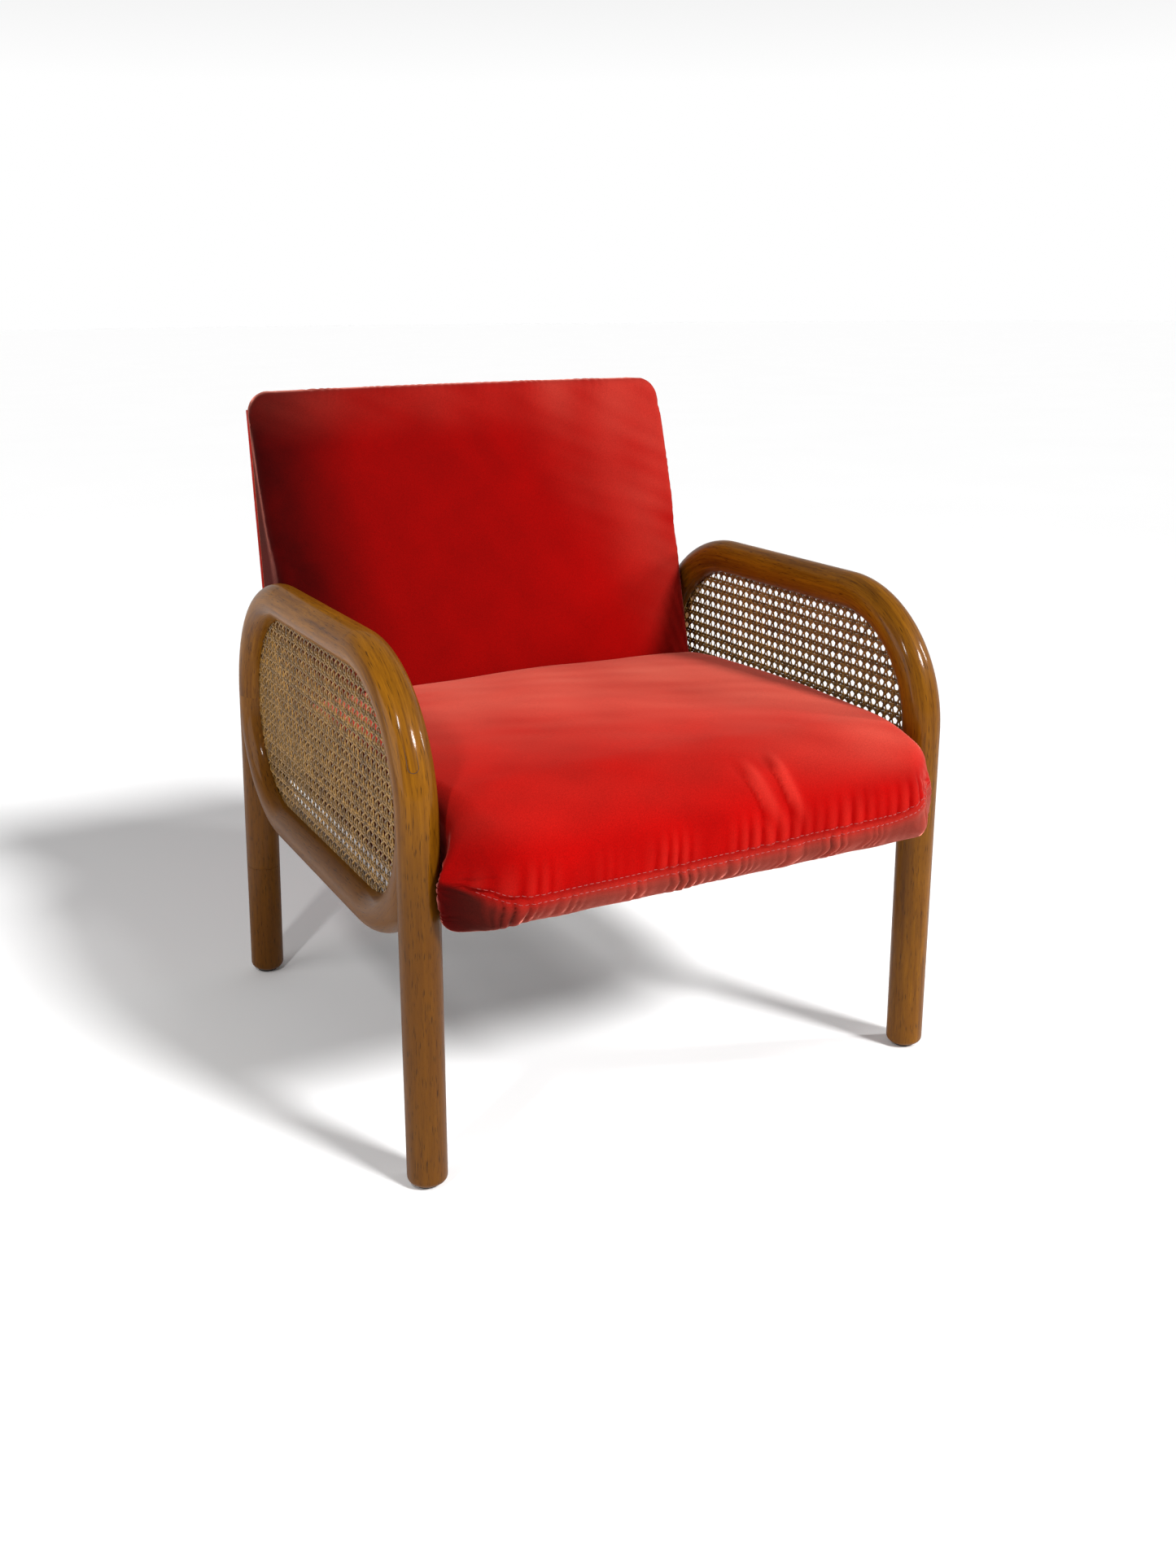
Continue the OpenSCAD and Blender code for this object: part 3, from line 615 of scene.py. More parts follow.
# %% [markdown]
# ## Upholstered shapes
# A cushion is a closed side outline carried across the chair. Towards each end the
# outline draws in to a core inside it while X runs out to the half-width, both along
# a quarter circle, so the ends are round like a filled cover. How far it draws in,
# and over what width, may differ along the outline: the front roll is round as a
# bolster, while the part between the poles is squarer. Then sewing, gathers and
# creases push points along the surface normal.

# %% Cushion maker
def walk(outline, spacing):
    """Resamples a closed outline so that each step is the spacing wanted there.
    Returns the points, their travel along the outline, and its whole length."""
    loop = np.vstack([outline, outline[:1]])
    steps = np.linalg.norm(np.diff(loop, axis=0), axis=1)
    travel = np.concatenate([[0], np.cumsum(steps)])
    middle = (loop[1:] + loop[:-1]) / 2
    want = np.concatenate([[0], np.cumsum(steps / spacing(middle))])
    at = np.interp(np.linspace(0, want[-1], int(want[-1]), endpoint=False), want, travel)
    points = np.stack([np.interp(at, travel, loop[:, k]) for k in (0, 1)], -1)
    return points, at, travel[-1]


def soften(outline, passes):
    """Rounds the corners of a closed outline: each pass blends a point with its
    neighbours."""
    for _ in range(passes):
        outline = outline / 2 + (np.roll(outline, 1, 0) + np.roll(outline, -1, 0)) / 4
    return outline


def swell(outline, core, draw_in, draw_width, half_width, columns, edge_rings=16, side_rings=26):
    """Grid of points (outline row, column across): x = half-width - width * (1 - sin a),
    inset = depth * (1 - cos a), for a from 0 to 90 degrees at each edge."""
    start, end = core
    axis = end - start
    share = np.clip(((outline - start) @ axis) / (axis @ axis), 0, 1)
    to_core = start + share[:, None] * axis - outline
    distance = np.linalg.norm(to_core, axis=1)
    depth = np.minimum(draw_in, distance * 0.93)
    turn = np.linspace(0, np.pi / 2, edge_rings + 1)[1:]
    flat_t = np.linspace(0, 1, columns // 2 + 1)
    inset = np.concatenate([0 * flat_t, 1 - np.cos(turn)])[None] * depth[:, None]
    share_in = inset / distance[:, None]
    loop = outline[:, None] + to_core[:, None] * share_in[..., None]
    fade = np.linspace(0, 1, side_rings + 1)[1:]
    centre = (start + end) / 2
    side = loop[:, -1:, :] * (1 - fade)[None, :, None] + centre * fade[None, :, None]
    loop = np.concatenate([loop, side], 1)
    reach = half_width(loop[..., 0], loop[..., 1])
    width = draw_width[:, None]
    edge = np.concatenate([0 * flat_t, np.sin(turn), 1 + 0 * fade])[None]
    across = reach - width * (1 - edge)
    flat = len(flat_t)
    across[:, :flat] = (reach[:, :1] - width) * flat_t
    across[:, -1] = across[:, -1].mean()
    right = np.concatenate([across[..., None], loop], -1)
    left = right * np.array([-1, 1, 1])
    return np.concatenate([left[:, :0:-1], right], 1)


def normals_of(grid):
    """Outward unit normals of a grid closed along its rows: the cross product of the
    central differences both ways."""
    down = np.roll(grid, -1, 0) - np.roll(grid, 1, 0)
    right = np.gradient(grid, axis=1)
    cross = np.cross(right, down)
    cross /= np.maximum(np.linalg.norm(cross, axis=-1), 1e-9)[..., None]
    middle = grid.mean((0, 1))
    outward = np.sign(((grid - middle) * cross).sum(-1).mean())
    return cross * outward


def cushion_piece(name, grid, material, replaces, painted_light_and_tone, painted_sheen):
    """Joins the grid into a closed skin: the last ring at each end is one point."""
    rows, columns = grid.shape[:2]
    inner = grid[:, 1:-1]
    count = columns - 2
    points = np.vstack([inner.reshape(-1, 3), grid[:, 0].mean(0), grid[:, -1].mean(0)])
    painted_light_and_tone, painted_sheen = (np.concatenate([np.clip(tone[:, 1:-1], 0, 1).ravel(),
                                  [tone[:, 0].mean(), tone[:, -1].mean()]])
                  for tone in (painted_light_and_tone, painted_sheen))
    faces = grid_quads(rows, count, wrap_rows=True)
    row = np.arange(rows)
    ahead = (row + 1) % rows
    left_tip, right_tip = rows * count, rows * count + 1
    faces += np.stack([row * count, ahead * count, 0 * row + left_tip], -1).tolist()
    faces += np.stack([row * count + count - 1, ahead * count + count - 1,
                       0 * row + right_tip], -1).tolist()
    return make_piece(name, points, faces, material, replaces=replaces,
                      notes={"painted_light_and_tone": painted_light_and_tone, "painted_sheen": painted_sheen})


# %% [markdown]
# The seat's side outline is an upper quarter ellipse over a smaller lower one, which
# make the front roll, then a top that climbs to its crown and falls a little towards
# the back. Travel along it is counted from the nose, upwards as positive, so the
# double seam that runs across the lower front has a travel of about minus ten.

# %% Seat outline and shape
def bow(centre, a, b, start, end, count=40):
    """Points of an ellipse's arc between two angles in degrees."""
    turn = np.radians(np.linspace(start, end, count))
    return np.stack([centre[0] + a * np.cos(turn), centre[1] + b * np.sin(turn)], -1)


def back_front(height):
    """Depth of the back's raked front face at a height."""
    return 309 + height * math.tan(math.radians(16.2))


def back_rear(height):
    """Depth of the back's rear face at a height."""
    return 541 + height * math.tan(math.radians(1.7))


upper = bow((20, 324), 106, 76, 180, 90, 60)
lower = bow((-24, 324), 62, 51.6, 270, 180, 40)[:-1]
top = np.array([[60, 400.4], [110, 401], [170, 401], [230, 400], [290, 398.2], [340, 395.4],
                [380, 391.6], [404, 388.4], [416, 384], [416, 374]])
rear = np.array([[back_front(300) + 6, 300], [back_front(280) + 4, 277], [380, 272.4]])
seat_line = np.vstack([upper, top, rear, lower])
seat_line, seat_at, seat_around = walk(
    seat_line, lambda p: np.where(p[:, 0] < 30, 2.1, np.where(p[:, 1] > 380, 4.0, 7.0)))
seat_line = soften(seat_line, 3)
seat_travel = np.where(seat_at > seat_around * 0.6, seat_at - seat_around, seat_at)


def seat_half_width(depth, height):
    """Narrow between the poles; ahead of them the cover bulges into two ears whose
    widest line lies just in front of the legs."""
    ahead_of_leg = np.minimum(depth + 29, 0) / 11
    ear = ease(depth, -13, -25) * np.exp(-ahead_of_leg ** 2)
    reach = np.where(height > 314, 36, 70)
    ear = ear * np.exp(-((height - 314) / reach) ** 2)
    return 262.5 - 13 * ease(depth, -35, -75) + 19.5 * ear


front_part = ease(seat_line[:, 0], 45, -30)
low_part = ease(seat_line[:, 1], 316, 280)
crest_part = ease(seat_line[:, 1], 352, 386)
seat_depth = (21 + 35 * front_part) * (1 - low_part) + (7 + 7 * front_part) * low_part
seat_width = (17 + 24 * front_part) * (1 - low_part) + (5 + 9 * front_part) * low_part
seat_depth -= 24 * crest_part * front_part
seat_width -= 14 * crest_part * front_part
seat = swell(seat_line, np.array([[-12.0, 324.0], [360.0, 332.0]]), seat_depth, seat_width,
             seat_half_width, columns=232, edge_rings=26)
X, Y, Z = np.moveaxis(seat, -1, 0)
drop = 7.5 * np.abs(X / 262) ** 2.6 * ease(Z, 330, 396)
seat[..., 2] -= drop
print("seat grid:", seat.shape, "widest", round(float(np.abs(X).max()), 1), "mm")

# %% [markdown]
# The seam is a curve on the outline: nearly level along the front, and climbing into
# both corners, where the cover turns round the roll. Below it the cloth is gathered
# into the seam, so short folds run down from it, at irregular distances of about a
# centimetre, and fade. A few shallower ones run up. Two long creases cross the roll
# right of the middle, where the cover is a little loose.

# %% Seat sewing and folds
SEAM_X = np.array([-284, -275, -262, -240, -90, 90, 190, 216, 232, 262, 284])
SEAM_RISE = np.array([16, 5, -6, -10, -9.6, -5.5, -3.5, 2, 8, 15, 24])


def seam_travel(x):
    """Travel of the double seam at a place across the seat, smoothed between a few
    guide heights."""
    spread = np.linspace(-300, 300, 601)
    line = np.interp(spread, SEAM_X, SEAM_RISE)
    line = np.convolve(np.pad(line, 8, mode="edge"), np.ones(17) / 17, mode="valid")
    return np.interp(x, spread, line)


def gathers(x, spacing, seed):
    """Folds pulled into a seam: round crests with narrow valleys, at a spacing that
    wanders, some deep and some faint."""
    wander = x / spacing + 0.55 * ripple(x, 0 * x, spacing * 5, seed)
    crest = 1 - 2 * np.abs(np.sin(np.pi * wander)) ** 0.8
    return -crest * np.clip(0.55 + 0.6 * ripple(x, 0 * x, spacing * 4, seed + 1), 0.08, 1.2)


def crease(grid, start, end, width, depth):
    """A fold along a line between two points of the chair: a valley with a soft ridge
    beside it, fading at both ends."""
    start, end = np.array(start, float), np.array(end, float)
    axis = end - start
    length = np.linalg.norm(axis)
    axis /= length
    away = grid - start
    along = away @ axis
    beside = np.cross(axis, away)
    sideways = beside[..., 2] * 0.6 - beside[..., 1] * 0.8
    across = np.linalg.norm(beside, axis=-1) * np.sign(sideways)
    fade = ease(along, -0.15 * length, 0.3 * length) * ease(along, 1.15 * length, 0.65 * length)
    valley = -np.exp(-(across / width) ** 2)
    ridge = 0.8 * np.exp(-((across - 2.1 * width) / (1.2 * width)) ** 2)
    return depth * fade * (valley + ridge)


travel = seat_travel[:, None] - seam_travel(X)
on_front = ease(np.abs(travel), 160, 110) * ease(np.abs(X), 300, 255)
push = -1.5 * np.exp(-(travel / 2.2) ** 2)
push += 0.5 * np.exp(-((travel - 6.5) / 4) ** 2) + 0.7 * np.exp(-((travel + 7) / 5) ** 2)
inner = ease(np.abs(X), 274, 248)
below = ease(travel, 0.5, -6) * ease(travel, -62, -18) * inner
above = ease(travel, -0.5, 5) * ease(travel, 46, 6) * inner
lean_x = X + 0.12 * travel + 2.5 * ripple(travel, X / 9, 26, 5)
folds_below = below * gathers(lean_x, 10.5, 61)
folds_above = above * gathers(X - 0.12 * travel, 15.0, 71)
push += 2.0 * folds_below + 1.8 * folds_above
long_creases = (crease(seat, (24, -36, 388), (36, -85, 335), 6, 1.0)
                + crease(seat, (60, -33, 390), (64, -84, 338), 5, 1.1))
push += 4.0 * long_creases
push += crease(seat, (-250, -60, 372), (-236, -86, 326), 6, 1.2)
soft_top = ease(Z, 330, 392)
push += soft_top * (0.9 * ripple(X, Y, 190, 81) + 0.18 * ripple(X, Y, 70, 82))
push += 0.8 * ripple(X, seat_travel[:, None] + 0 * X, 55, 83) * on_front * (1 - soft_top)
corner = ease(np.abs(X), 205, 258) * ease(Y, 0, -40)
push += 0.9 * corner * gathers(travel + 0.5 * np.abs(X), 13, 91) * ease(np.abs(travel), 70, 20)
seat += normals_of(seat) * (push * ease(np.abs(X), 279.9, 262))[..., None]
seat[..., 2] = np.maximum(seat[..., 2], 271.6)
under = (seat[..., 2] < 276) & (np.abs(seat[..., 0]) < 250) & (seat[..., 1] > -14)
seat[..., 2] = np.where(under, 275.2, seat[..., 2])

# Painted light brightens the top towards the back, and painted shade darkens the left
# end of the roll, the band below the seam, the fold valleys and the side walls behind
# the cane, with a random ripple in it. A painted pale sheen grows over the top towards
# the rear right, over the band below the seam away from the left end and on fold crests.
X, Y, Z = np.moveaxis(seat, -1, 0)
on_top = ease(Z, 348, 394)
painted_shade_sides = ease(np.abs(X), 250, 262) * ease(Y, 60, 110)
seat_painted_light = 0.62 + 0.16 * ease(Y, -70, 60) * on_top
seat_painted_light -= 0.16 * ease(X, -170, -262) * ease(Y, 60, -50)
seat_painted_light += 0.06 * ripple(X, Y + Z, 160, 85) + 0.03 * ripple(X, Y + Z, 45, 86)
seat_painted_light -= 0.48 * ease(travel, 4, -20) * ease(Y, 0, -50)
seat_painted_light += 0.10 * folds_below + 0.12 * folds_above + 0.12 * long_creases
seat_painted_light = seat_painted_light * (1 - 0.92 * painted_shade_sides)
seat_painted_sheen = on_top * (0.04 + 0.40 * ease(Y + 0.4 * X, -60, 320) + 0.14 * ease(X, 60, 240))
seat_painted_sheen *= 1 + 0.2 * ripple(X, Y, 140, 87) + 0.1 * ripple(X, Y, 40, 88)
seat_painted_sheen += 0.19 * ease(travel, 6, -14) * ease(Y, 0, -50) * ease(X, -290, -150)
seat_painted_sheen += 0.10 * np.clip(long_creases, 0, 1) + 0.05 * np.clip(folds_above, 0, 1)
seat_painted_sheen += 0.06 * np.clip(folds_below, -0.8, 1) * ease(X, -290, -150)
seat_painted_sheen = np.clip(seat_painted_sheen, 0, 1) * (1 - 0.97 * painted_shade_sides)
seat_cushion = cushion_piece("seat_upholstery", seat, VELVET,
                             ["seat_cover", "seat_foam"], seat_painted_light, seat_painted_sheen)


# %% [markdown]
# Both rows of top-stitching are real stitches, about five millimetres long, each a
# small bean of thread that lies along the seam and dips into the velvet at its ends.

# %% Stitches
def on_grid(grid, row, column):
    """Points of a grid at fractional rows and columns: the four nearest, weighted by
    nearness."""
    rows = grid.shape[0]
    r0, c0 = np.floor(row).astype(int), np.floor(column).astype(int)
    fr, fc = (row - r0)[:, None], (column - c0)[:, None]
    r1, c1 = (r0 + 1) % rows, np.minimum(c0 + 1, grid.shape[1] - 1)
    r0 = r0 % rows
    return ((grid[r0, c0] * (1 - fc) + grid[r0, c1] * fc) * (1 - fr)
            + (grid[r1, c0] * (1 - fc) + grid[r1, c1] * fc) * fr)


STITCH_RINGS = 7


def stitch_row(offset, length=4.6, gap=1.5, thick=0.34):
    """One row of stitches at a travel offset from the seam. Each stitch is a tube of
    rings whose radius swells in the middle: r = thick * sqrt(sin)."""
    spread = np.arange(-256, 262, 0.5)
    order = np.argsort(seat_travel)
    row = np.interp(seam_travel(spread) + offset, seat_travel[order],
                    np.unwrap(order, period=len(order)).astype(float))
    near = np.round(row).astype(int) % len(order)
    column = np.array([np.interp(x, seat[n, :, 0], np.arange(seat.shape[1]))
                       for x, n in zip(spread, near)])
    path = on_grid(seat, row, column)
    out = on_grid(normals_of(seat), row, column)
    path = path + out * 0.1
    reach = np.concatenate([[0], np.cumsum(np.linalg.norm(np.diff(path, axis=0), axis=1))])
    starts = np.arange(2, reach[-1] - length - 2, length + gap)
    t = np.linspace(0, 1, STITCH_RINGS)
    at = starts[:, None] + t * length
    centre = np.stack([np.interp(at, reach, path[:, k]) for k in range(3)], -1)
    up = unit(np.stack([np.interp(at, reach, out[:, k]) for k in range(3)], -1))
    flank = np.cross(unit(np.gradient(centre, axis=1)), up)
    radius = thick * np.sqrt(np.clip(np.sin(np.pi * (0.06 + 0.88 * t)), 0, 1))
    centre = centre + up * (0.35 * np.sin(np.pi * t) - 0.25)[None, :, None]
    turn = np.linspace(0, 2 * np.pi, TUBE_SIDES, endpoint=False)
    ring = (up[:, :, None] * np.cos(turn)[None, None, :, None]
            + flank[:, :, None] * np.sin(turn)[None, None, :, None])
    return centre[:, :, None] + ring * radius[None, :, None, None]


tubes = np.concatenate([stitch_row(4.2), stitch_row(-4.2)])
count = len(tubes)
one = np.array(grid_quads(STITCH_RINGS, TUBE_SIDES, wrap_columns=True))
first = np.arange(count)[:, None] * STITCH_RINGS * TUBE_SIDES
faces = (one[None] + first[..., None]).reshape(-1, 4).tolist()
cap = np.arange(TUBE_SIDES)
faces += (first + cap[::-1]).tolist() + (first + (STITCH_RINGS - 1) * TUBE_SIDES + cap).tolist()
make_piece("seat_top_stitching", tubes.reshape(-1, 3), faces, THREAD)
print(count, "stitches")

# %% [markdown]
# The back is made in the same way. Its outline runs up the raked front face, over a
# tight upper edge and down the rear, and its upper corners are rounder than its
# edges. The cover is pulled hard over the corners, so fine puckers stand along the
# upper edge and down both sides, and the middle is crowned by the foam.

# %% Back
FOOT = 272.4
BACK_HALF, BACK_TOP = 263.0, 716.0
over = bow((back_front(701) + 15.6, 701), 15, 14.2, 180 - 16.2, 90, 14)
behind = bow((back_rear(702) - 13, 702), 13, 13, 90, 0, 14)
rise = np.linspace(FOOT, 690, 60)
front_face = np.stack([back_front(rise), rise], -1)
fall = np.linspace(690, FOOT, 40)
rear_face = np.stack([back_rear(fall) - 1.5, fall], -1)
back_line = np.vstack([front_face, over, behind, rear_face])
back_line, back_at, back_around = walk(
    back_line, lambda p: np.where(p[:, 1] < 300, 8.0, np.where(p[:, 1] > 640, 2.2, 3.6)))
back_line = soften(back_line, 2)
at_top = ease(back_line[:, 1], 668, 708)


def back_half_width(depth, height):
    """Widest along the front edge above the arms, and drawn in a little towards the
    board at the rear."""
    above_arm = 3.5 * ease(height, 525, 575)
    return BACK_HALF + above_arm - (3.6 + above_arm) * ease(depth - back_front(height), 8, 52)


back = swell(back_line, np.array([[470.0, 330.0], [528.0, 662.0]]), 13 + 15 * at_top,
             13 + 13 * at_top, back_half_width, columns=200, edge_rings=12, side_rings=20)
X, Y, Z = np.moveaxis(back, -1, 0)
middle_depth = (back_front(1.0 * Z) + back_rear(1.0 * Z)) / 2
on_face = ease(Y, middle_depth, middle_depth - 30)
dome = (1 - np.abs(X / BACK_HALF) ** 3.5) * np.sin(np.pi * np.clip((Z - 330) / 385, 0, 1)) ** 0.7
from_top = BACK_TOP - Z
from_side = BACK_HALF - np.abs(X)
push = 7.0 * dome * on_face
push += on_face * (1.1 * ripple(X, Z, 210, 101) + 0.45 * ripple(X, Z, 80, 102))
pucker_top = ease(from_top, 34, 4) * ease(np.abs(X), 262, 225)
push += 0.55 * pucker_top * gathers(X + 0.35 * from_top, 10.5, 111)
pucker_side = ease(from_side, 34, 4) * ease(Z, 400, 560) * ease(from_top, 4, 30)
push += 0.75 * pucker_side * on_face * gathers(Z + 0.8 * from_side, 11.5, 121)
crown = 1.6 * (1 - (X / BACK_HALF) ** 2) * at_top[:, None]
back += normals_of(back) * push[..., None]
back[..., 2] += crown - 1.6
under = (back[..., 2] < 280) & (np.abs(back[..., 0]) < 250) & (back[..., 1] < 534)
back[..., 2] = np.where(under, 275.2, back[..., 2])

# Painted shade darkens the back down its left side and painted light brightens it towards
# the upper right; low down it is lighter in the middle and darker at the right, and a
# painted pale sheen lies towards the upper right and along the top.
X, Y, Z = np.moveaxis(back, -1, 0)
back_painted_light = 0.03 + 0.30 * ease(X, -250, -120) + 0.14 * ease(X + 0.5 * (Z - 560), -60, 280)
back_painted_light += 0.10 * ease(Z, 560, 400) * (ease(X, -120, 60) - 1.2 * ease(X, 130, 260))
back_painted_light += 0.035 * ripple(X, Z, 190, 105) + 0.015 * ripple(X + 0.4 * Z, Z, 60, 106)
back_painted_sheen = 0.09 * ease(X + 0.5 * (Z - 600), 60, 260) + 0.03 * ease(Z, 650, 705)
back_painted_sheen *= 1 + 0.4 * ripple(X, Z, 90, 107) + 0.2 * ripple(X + 2 * Z, Z, 60, 108)
back_cushion = cushion_piece("back_upholstery", back, VELVET,
                             ["back_cover", "back_foam"], back_painted_light, back_painted_sheen)

# %% [markdown]
# ## Rear panel and dust cover
# A separate piece of velvet closes the rear of the back: it is stretched over the
# plywood and turned in round its four edges. Under the seat a black
# cambric dust cover is stapled to the rails. Both are sheets: a grid a little
# thicker at the folded hem.

# %% Stretched sheets
def slab(across, upwards, shape, round_edge=2.2):
    """Closed thin plate over two rows of flat coordinates. shape(u, v, rim) gives the
    middle surface and the half-thickness vector, where rim is the distance to the
    nearest edge; both faces draw together at the rim."""
    columns, rows = len(across), len(upwards)
    u, v = np.meshgrid(across, upwards)
    rim = np.minimum.reduce([u - across[0], across[-1] - u, v - upwards[0], upwards[-1] - v])
    full = np.sqrt(1 - (1 - np.clip(rim / round_edge, 0, 1)) ** 2)
    middle, half = shape(u, v, rim)
    face = middle + half * full[..., None]
    rear = middle - half * full[..., None]
    number = np.arange(rows * columns).reshape(rows, columns)
    inside = np.ones_like(number, bool)
    inside[0] = inside[-1] = inside[:, 0] = inside[:, -1] = False
    twin = number.copy()
    twin[inside] = rows * columns + np.arange(inside.sum())
    points = np.vstack([face.reshape(-1, 3), rear[inside]])
    quads = [number[:-1, :-1], number[:-1, 1:], number[1:, 1:], number[1:, :-1]]
    twins = [twin[:-1, :-1], twin[1:, :-1], twin[1:, 1:], twin[:-1, 1:]]
    faces = np.vstack([np.stack(quads, -1).reshape(-1, 4), np.stack(twins, -1).reshape(-1, 4)])
    return points, faces.tolist()


EDGE_X, EDGE_LOW, EDGE_TOP, TURN_IN = 258.3, 274.2, 692.8, 9.0


def with_turn_in(low, high, step=3.5):
    """Flat coordinates between two edges, closer together over the part turned in."""
    turned = np.array([TURN_IN, 8.2, 6.4, 4.4, 3.2, 2.1, 1.3, 0.6, 0.0])
    inner = np.linspace(low, high, int((high - low) / step))[1:-1]
    return np.concatenate([low - turned, inner, (high + turned)[::-1]])


def rear_panel(u, v, rim):
    """u runs across and v up over the board's rear face. Past an edge of the board the
    distance beyond it becomes depth, forwards, so the cloth wraps the board."""
    x, z = np.clip(u, -EDGE_X, EDGE_X), np.clip(v, EDGE_LOW, EDGE_TOP)
    beyond = np.maximum(np.abs(u - x), np.abs(v - z))
    pucker = 0.25 * ease(rim, 30, TURN_IN + 2) * gathers(u + v, 12, 141)
    depth = back_rear(z) - 0.4 + 0.25 * ripple(u, v, 120, 131) + pucker - beyond
    turned = ease(beyond, 0, 1.6)
    out_x, out_z = np.sign(u - x), np.sign(v - z)
    share = 1 / np.maximum(np.hypot(out_x, out_z), 1)
    half = np.stack([turned * out_x * share, 1 - turned, turned * out_z * share], -1) * 0.7
    return np.stack([x, depth, z], -1), half


points, faces = slab(with_turn_in(-EDGE_X, EDGE_X), with_turn_in(EDGE_LOW, EDGE_TOP), rear_panel,
                     round_edge=0.8)
# The rear panel gets a middle painted light with a random ripple, and an even faint painted sheen.
rear_cloth = make_piece("back_rear_panel", points, faces, VELVET,
                        replaces=["back_board_cover"],
                        notes={"painted_light_and_tone": 0.5 + 0.1 * ripple(points[:, 0], points[:, 2], 120, 145),
                               "painted_sheen": np.full(len(points), 0.04)})

CAMBRIC, shader = start_material("black_cambric", Roughness=0.95)
place = add(CAMBRIC, "TexCoord").outputs["Object"]
dots = add(CAMBRIC, "TexVoronoi", {"Vector": place, "Scale": 1000 / 1.6})
fleck = add(CAMBRIC, "Mix", {0: dots.outputs[0], 6: linear("#202022"), 7: linear("#39393b")},
            data_type="RGBA")
dimple = add(CAMBRIC, "Bump", {"Height": dots.outputs[0], "Strength": 0.3, "Distance": 0.0003})
dress(CAMBRIC, shader, fleck, dimple)
dust_low, dust_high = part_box("dust_cover")
dust_x = dust_high.x / MM
dust_y = [(v - FRONT_AXIS_Y) / MM for v in (dust_low.y, dust_high.y)]


def dust_sheet(u, v, rim):
    """Level under the rails, with a slack millimetre and a half in the middle."""
    height = 274.3 - 1.5 * ease(rim, 20, 190) + 0.2 * ripple(u, v, 60, 151) * ease(rim, 4, 30)
    half = np.stack([0 * u, 0 * u, 0.3 + 0.25 * ease(rim, 14, 9)], -1)
    return np.stack([u, v, height], -1), half


points, faces = slab(np.linspace(-dust_x, dust_x, 70), np.linspace(*dust_y, 90), dust_sheet)
dust_cloth = make_piece("dust_cover_cloth", points, faces, CAMBRIC,
                        replaces=["dust_cover"])

# %% [markdown]
# ## Hidden parts
# The pine frame, straps, felt, bolts and dowels keep their CAD meshes and take
# materials of their own. Sawn pine and beech reuse the wood above; the straps are a
# coarse weave, the felt a matt mottle, and the fixings zinc and brass.

# %% Materials for the CAD nodes
def plain(name, dark, pale, size_mm, rough, metal=0.0, bump=0.2, squash=(1, 1, 1)):
    """A mottle of two colours at a real size, with a bump of the same pattern."""
    material, shader = start_material(name, Roughness=rough, Metallic=metal)
    spot = add(material, "TexCoord").outputs["Object"]
    fitted = add(material, "Mapping", {0: spot, "Scale": squash}).outputs[0]
    grain = add(material, "TexNoise", {"Vector": fitted, "Scale": 1000 / size_mm, "Detail": 4})
    tone = add(material, "Mix", {0: grain.outputs[0], 6: linear(dark), 7: linear(pale)},
               data_type="RGBA")
    relief = add(material, "Bump", {"Height": grain.outputs[0], "Strength": bump,
                                    "Distance": 0.0005})
    dress(material, shader, tone, relief)
    return material


FINISHES = {
    "pole_wood": POLE_WOOD, "cane": CANE, "pine": RAIL_PINE, "beech": BEECH,
    "plywood": BIRCH_PLY, "velvet": VELVET, "cambric": CAMBRIC,
    "reed": plain("rattan_core", "#9c7440", "#c8a468", 2.0, 0.7, squash=(1, 0.2, 0.2)),
    "glide_nylon": plain("moulded_nylon", "#1d1a17", "#2a2622", 0.8, 0.55),
    "webbing": plain("elastic_webbing", "#3d2412", "#7a5230", 1.8, 0.9, bump=0.6,
                     squash=(0.3, 1, 1)),
    "felt": plain("needled_felt", "#4c4a48", "#8a8683", 3.0, 1.0, bump=0.6),
    "foam": plain("cut_foam", "#cbb672", "#e6d79c", 1.2, 0.95, bump=0.5),
    "brass": plain("turned_brass", "#a8813a", "#c9a04e", 3.0, 0.32, metal=1.0, bump=0.05),
    "steel": plain("zinc_plated_steel", "#8f9194", "#b9babb", 6.0, 0.35, metal=1.0, bump=0.05),
}
slot_of = {part["node"]: part["material_slot"] for part in frame["record"]["subparts"]}
for name, node in frame["nodes"].items():
    node.data.materials.clear()
    node.data.materials.append(FINISHES[slot_of[name]])
print("CAD nodes still shown:", sorted(n for n, o in frame["nodes"].items() if not o.hide_render))

# %% [markdown]
# ## Floor, light and camera
# The floor is a wide pale disc, and the world is white behind the chair and dim overhead
# and on the near side, like a dark room with one white wall, so floor and background run
# together and the lacquer keeps its colour. The key is a broad sun ahead and to the
# right, which throws the shadows back and to the left. A soft box on the left lifts the
# outer faces of the poles, and two narrow strips draw a pair of streaks on each bend.

# %% Floor
FLOOR, shader = start_material("pale_studio_floor", Roughness=0.95)
shader.inputs["Specular IOR Level"].default_value = 0.1
place = add(FLOOR, "TexCoord").outputs["Object"]
mottle = add(FLOOR, "TexNoise", {"Vector": place, "Scale": 1.5, "Detail": 3})
paint = add(FLOOR, "Mix", {0: mottle.outputs[0], 6: linear("#fcfcfc"), 7: linear("#ffffff")},
            data_type="RGBA")
dress(FLOOR, shader, paint)
radius = np.array([0.5, 1, 2, 4, 8, 16, 40])
SPOKES = 96
around = np.linspace(0, 2 * np.pi, SPOKES, endpoint=False)
disc = np.stack([radius[:, None] * np.cos(around), radius[:, None] * np.sin(around),
                 np.zeros((len(radius), SPOKES))], -1).reshape(-1, 3)
faces = [list(range(SPOKES))] + grid_quads(len(radius), SPOKES, wrap_columns=True)
mesh = bpy.data.meshes.new("studio_floor")
mesh.from_pydata(disc.tolist(), [], faces)
mesh.materials.append(FLOOR)
floor = bpy.data.objects.new("studio_floor", mesh)
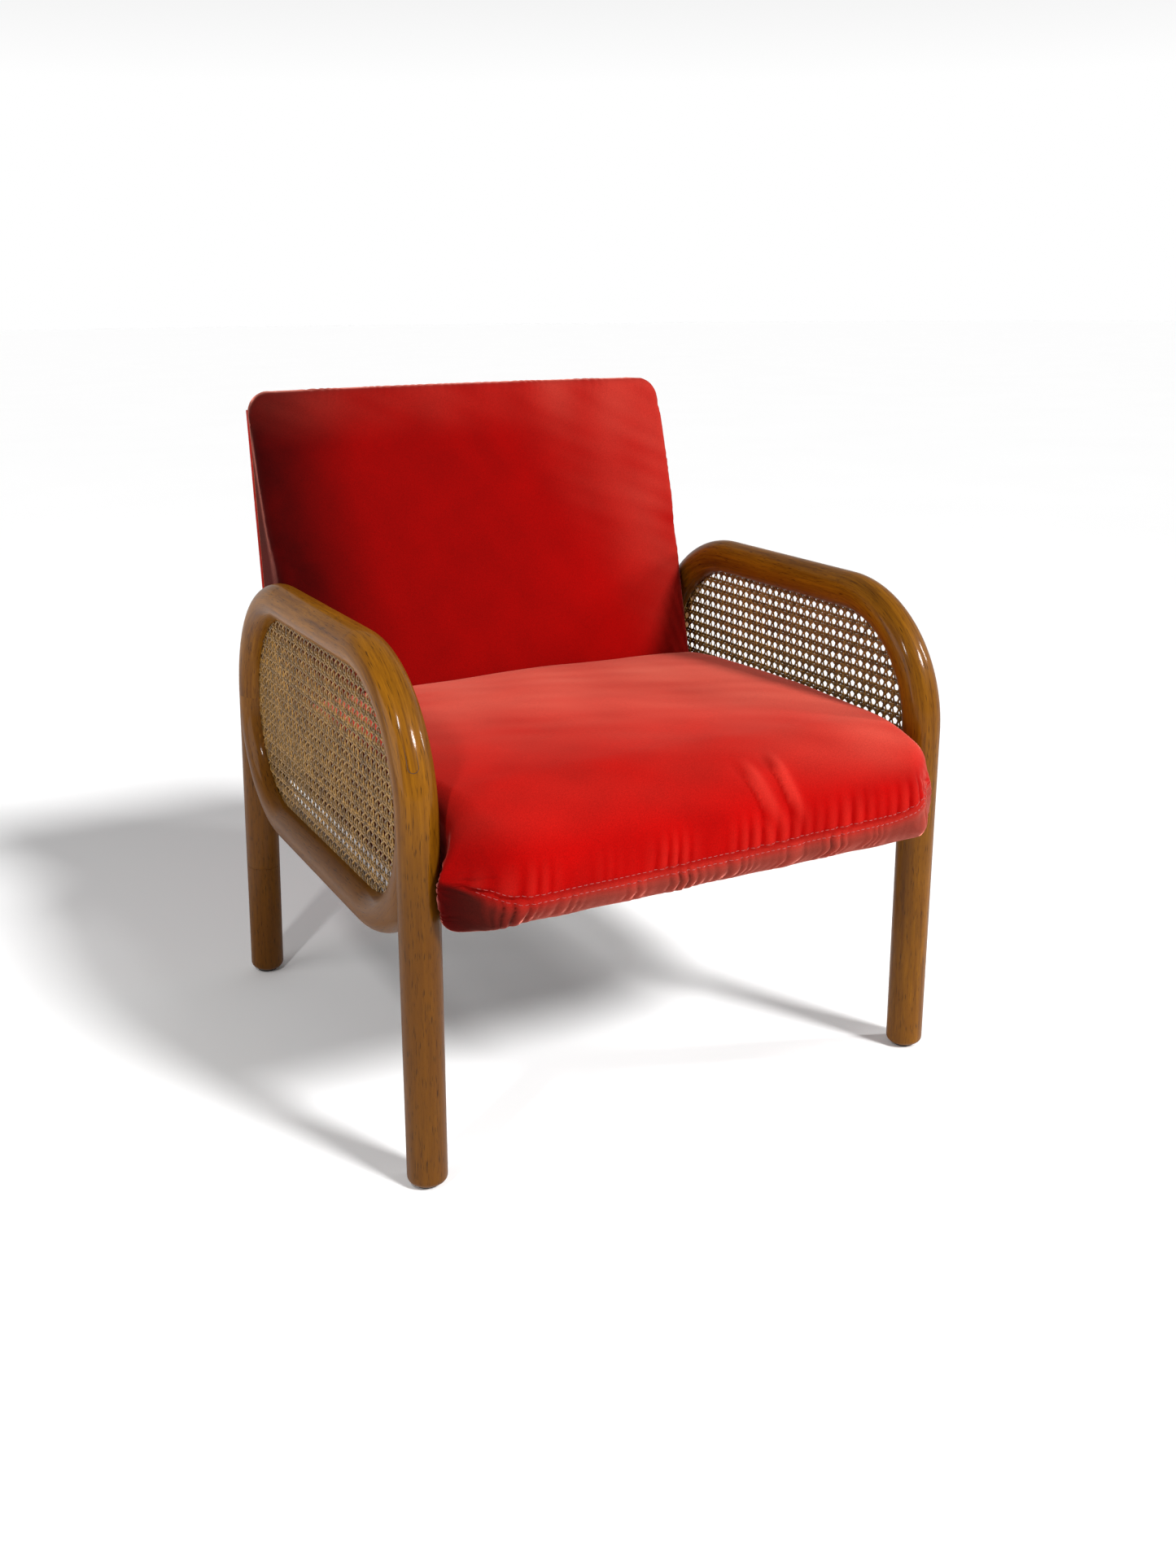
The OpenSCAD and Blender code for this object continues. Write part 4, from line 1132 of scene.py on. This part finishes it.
bpy.context.scene.collection.objects.link(floor)
floor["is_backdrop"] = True


# %% Light
def lamp(name, kind, place, target, power, **shape):
    """A light of that kind at a place, turned to face a target."""
    light = bpy.data.lights.new(name, kind)
    light.energy = power
    for key, value in shape.items():
        setattr(light, key, value)
    holder = bpy.data.objects.new(name, light)
    way = Vector(target) - Vector(place)
    facing = way.to_track_quat("-Z", "Y").to_matrix().to_4x4()
    holder.matrix_world = Matrix.Translation(place) @ facing
    bpy.context.scene.collection.objects.link(holder)


lamp("key_windows", "SUN", (1.30, -2.72, 2.53), (0, 0, 0), 3.65, angle=math.radians(12))
lamp("left_soft_box", "AREA", (-2.5, 0.1, 0.9), (0, 0, 0.35), 20, shape="RECTANGLE", size=1.8,
     size_y=1.4)
for name, place, power in (("left_strip", (-1.02, -0.77, 1.45), 7),
                           ("right_strip", (1.02, -0.53, 0.92), 5.5)):
    lamp(name, "AREA", place, (0, 0, 0.45), power, shape="RECTANGLE", size=0.08, size_y=0.21)
world = bpy.data.worlds.new("white_room")
world.use_nodes = True
sky = add(world, "TexCoord").outputs["Generated"]
sky_parts = add(world, "SeparateXYZ", {0: sky})
rise = add(world, "MapRange", {0: sky_parts.outputs[2], 1: 0.12, 2: 0.45, 3: 1.0, 4: 0.34})
facing = add(world, "VectorMath", {0: sky, 1: (0.465, 0.885, 0)}, operation="DOT_PRODUCT")
side = add(world, "MapRange", {0: facing.outputs["Value"], 1: -0.3, 2: 0.6, 3: 0.42, 4: 1.0})
glow = add(world, "Math", {0: rise.outputs[0], 1: side.outputs[0]}, operation="MULTIPLY")
background = world.node_tree.nodes["Background"]
world.node_tree.links.new(glow.outputs[0], background.inputs["Strength"])
background.inputs["Color"].default_value = linear("#ffffff")
bpy.context.scene.world = world
bpy.context.scene.view_settings.view_transform = "Standard"

# %% Camera
yaw, pitch, roll = 0.48447, 0.3468, -0.0085
ahead = Vector((math.sin(yaw) * math.cos(pitch), math.cos(yaw) * math.cos(pitch),
                -math.sin(pitch)))
level = Vector((math.cos(yaw), -math.sin(yaw), 0))
rise_ = level.cross(ahead)
right = math.cos(roll) * level + math.sin(roll) * rise_
up = math.cos(roll) * rise_ - math.sin(roll) * level
lens = bpy.data.cameras.new("studio_camera")
lens.lens, lens.sensor_width, lens.shift_y = 33.44, 36, 0.0213
lens.clip_end = 50
camera = bpy.data.objects.new("studio_camera", lens)
turned = Matrix((right, up, -ahead)).transposed().to_4x4()
camera.matrix_world = Matrix.Translation((-0.7217, -1.1539 + FRONT_AXIS_Y, 0.8186)) @ turned
bpy.context.scene.collection.objects.link(camera)
bpy.context.scene.camera = camera

# %% Measure and finish
low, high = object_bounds()
print("visual box in mm:", [round(v * 1000) for v in (high - low)])
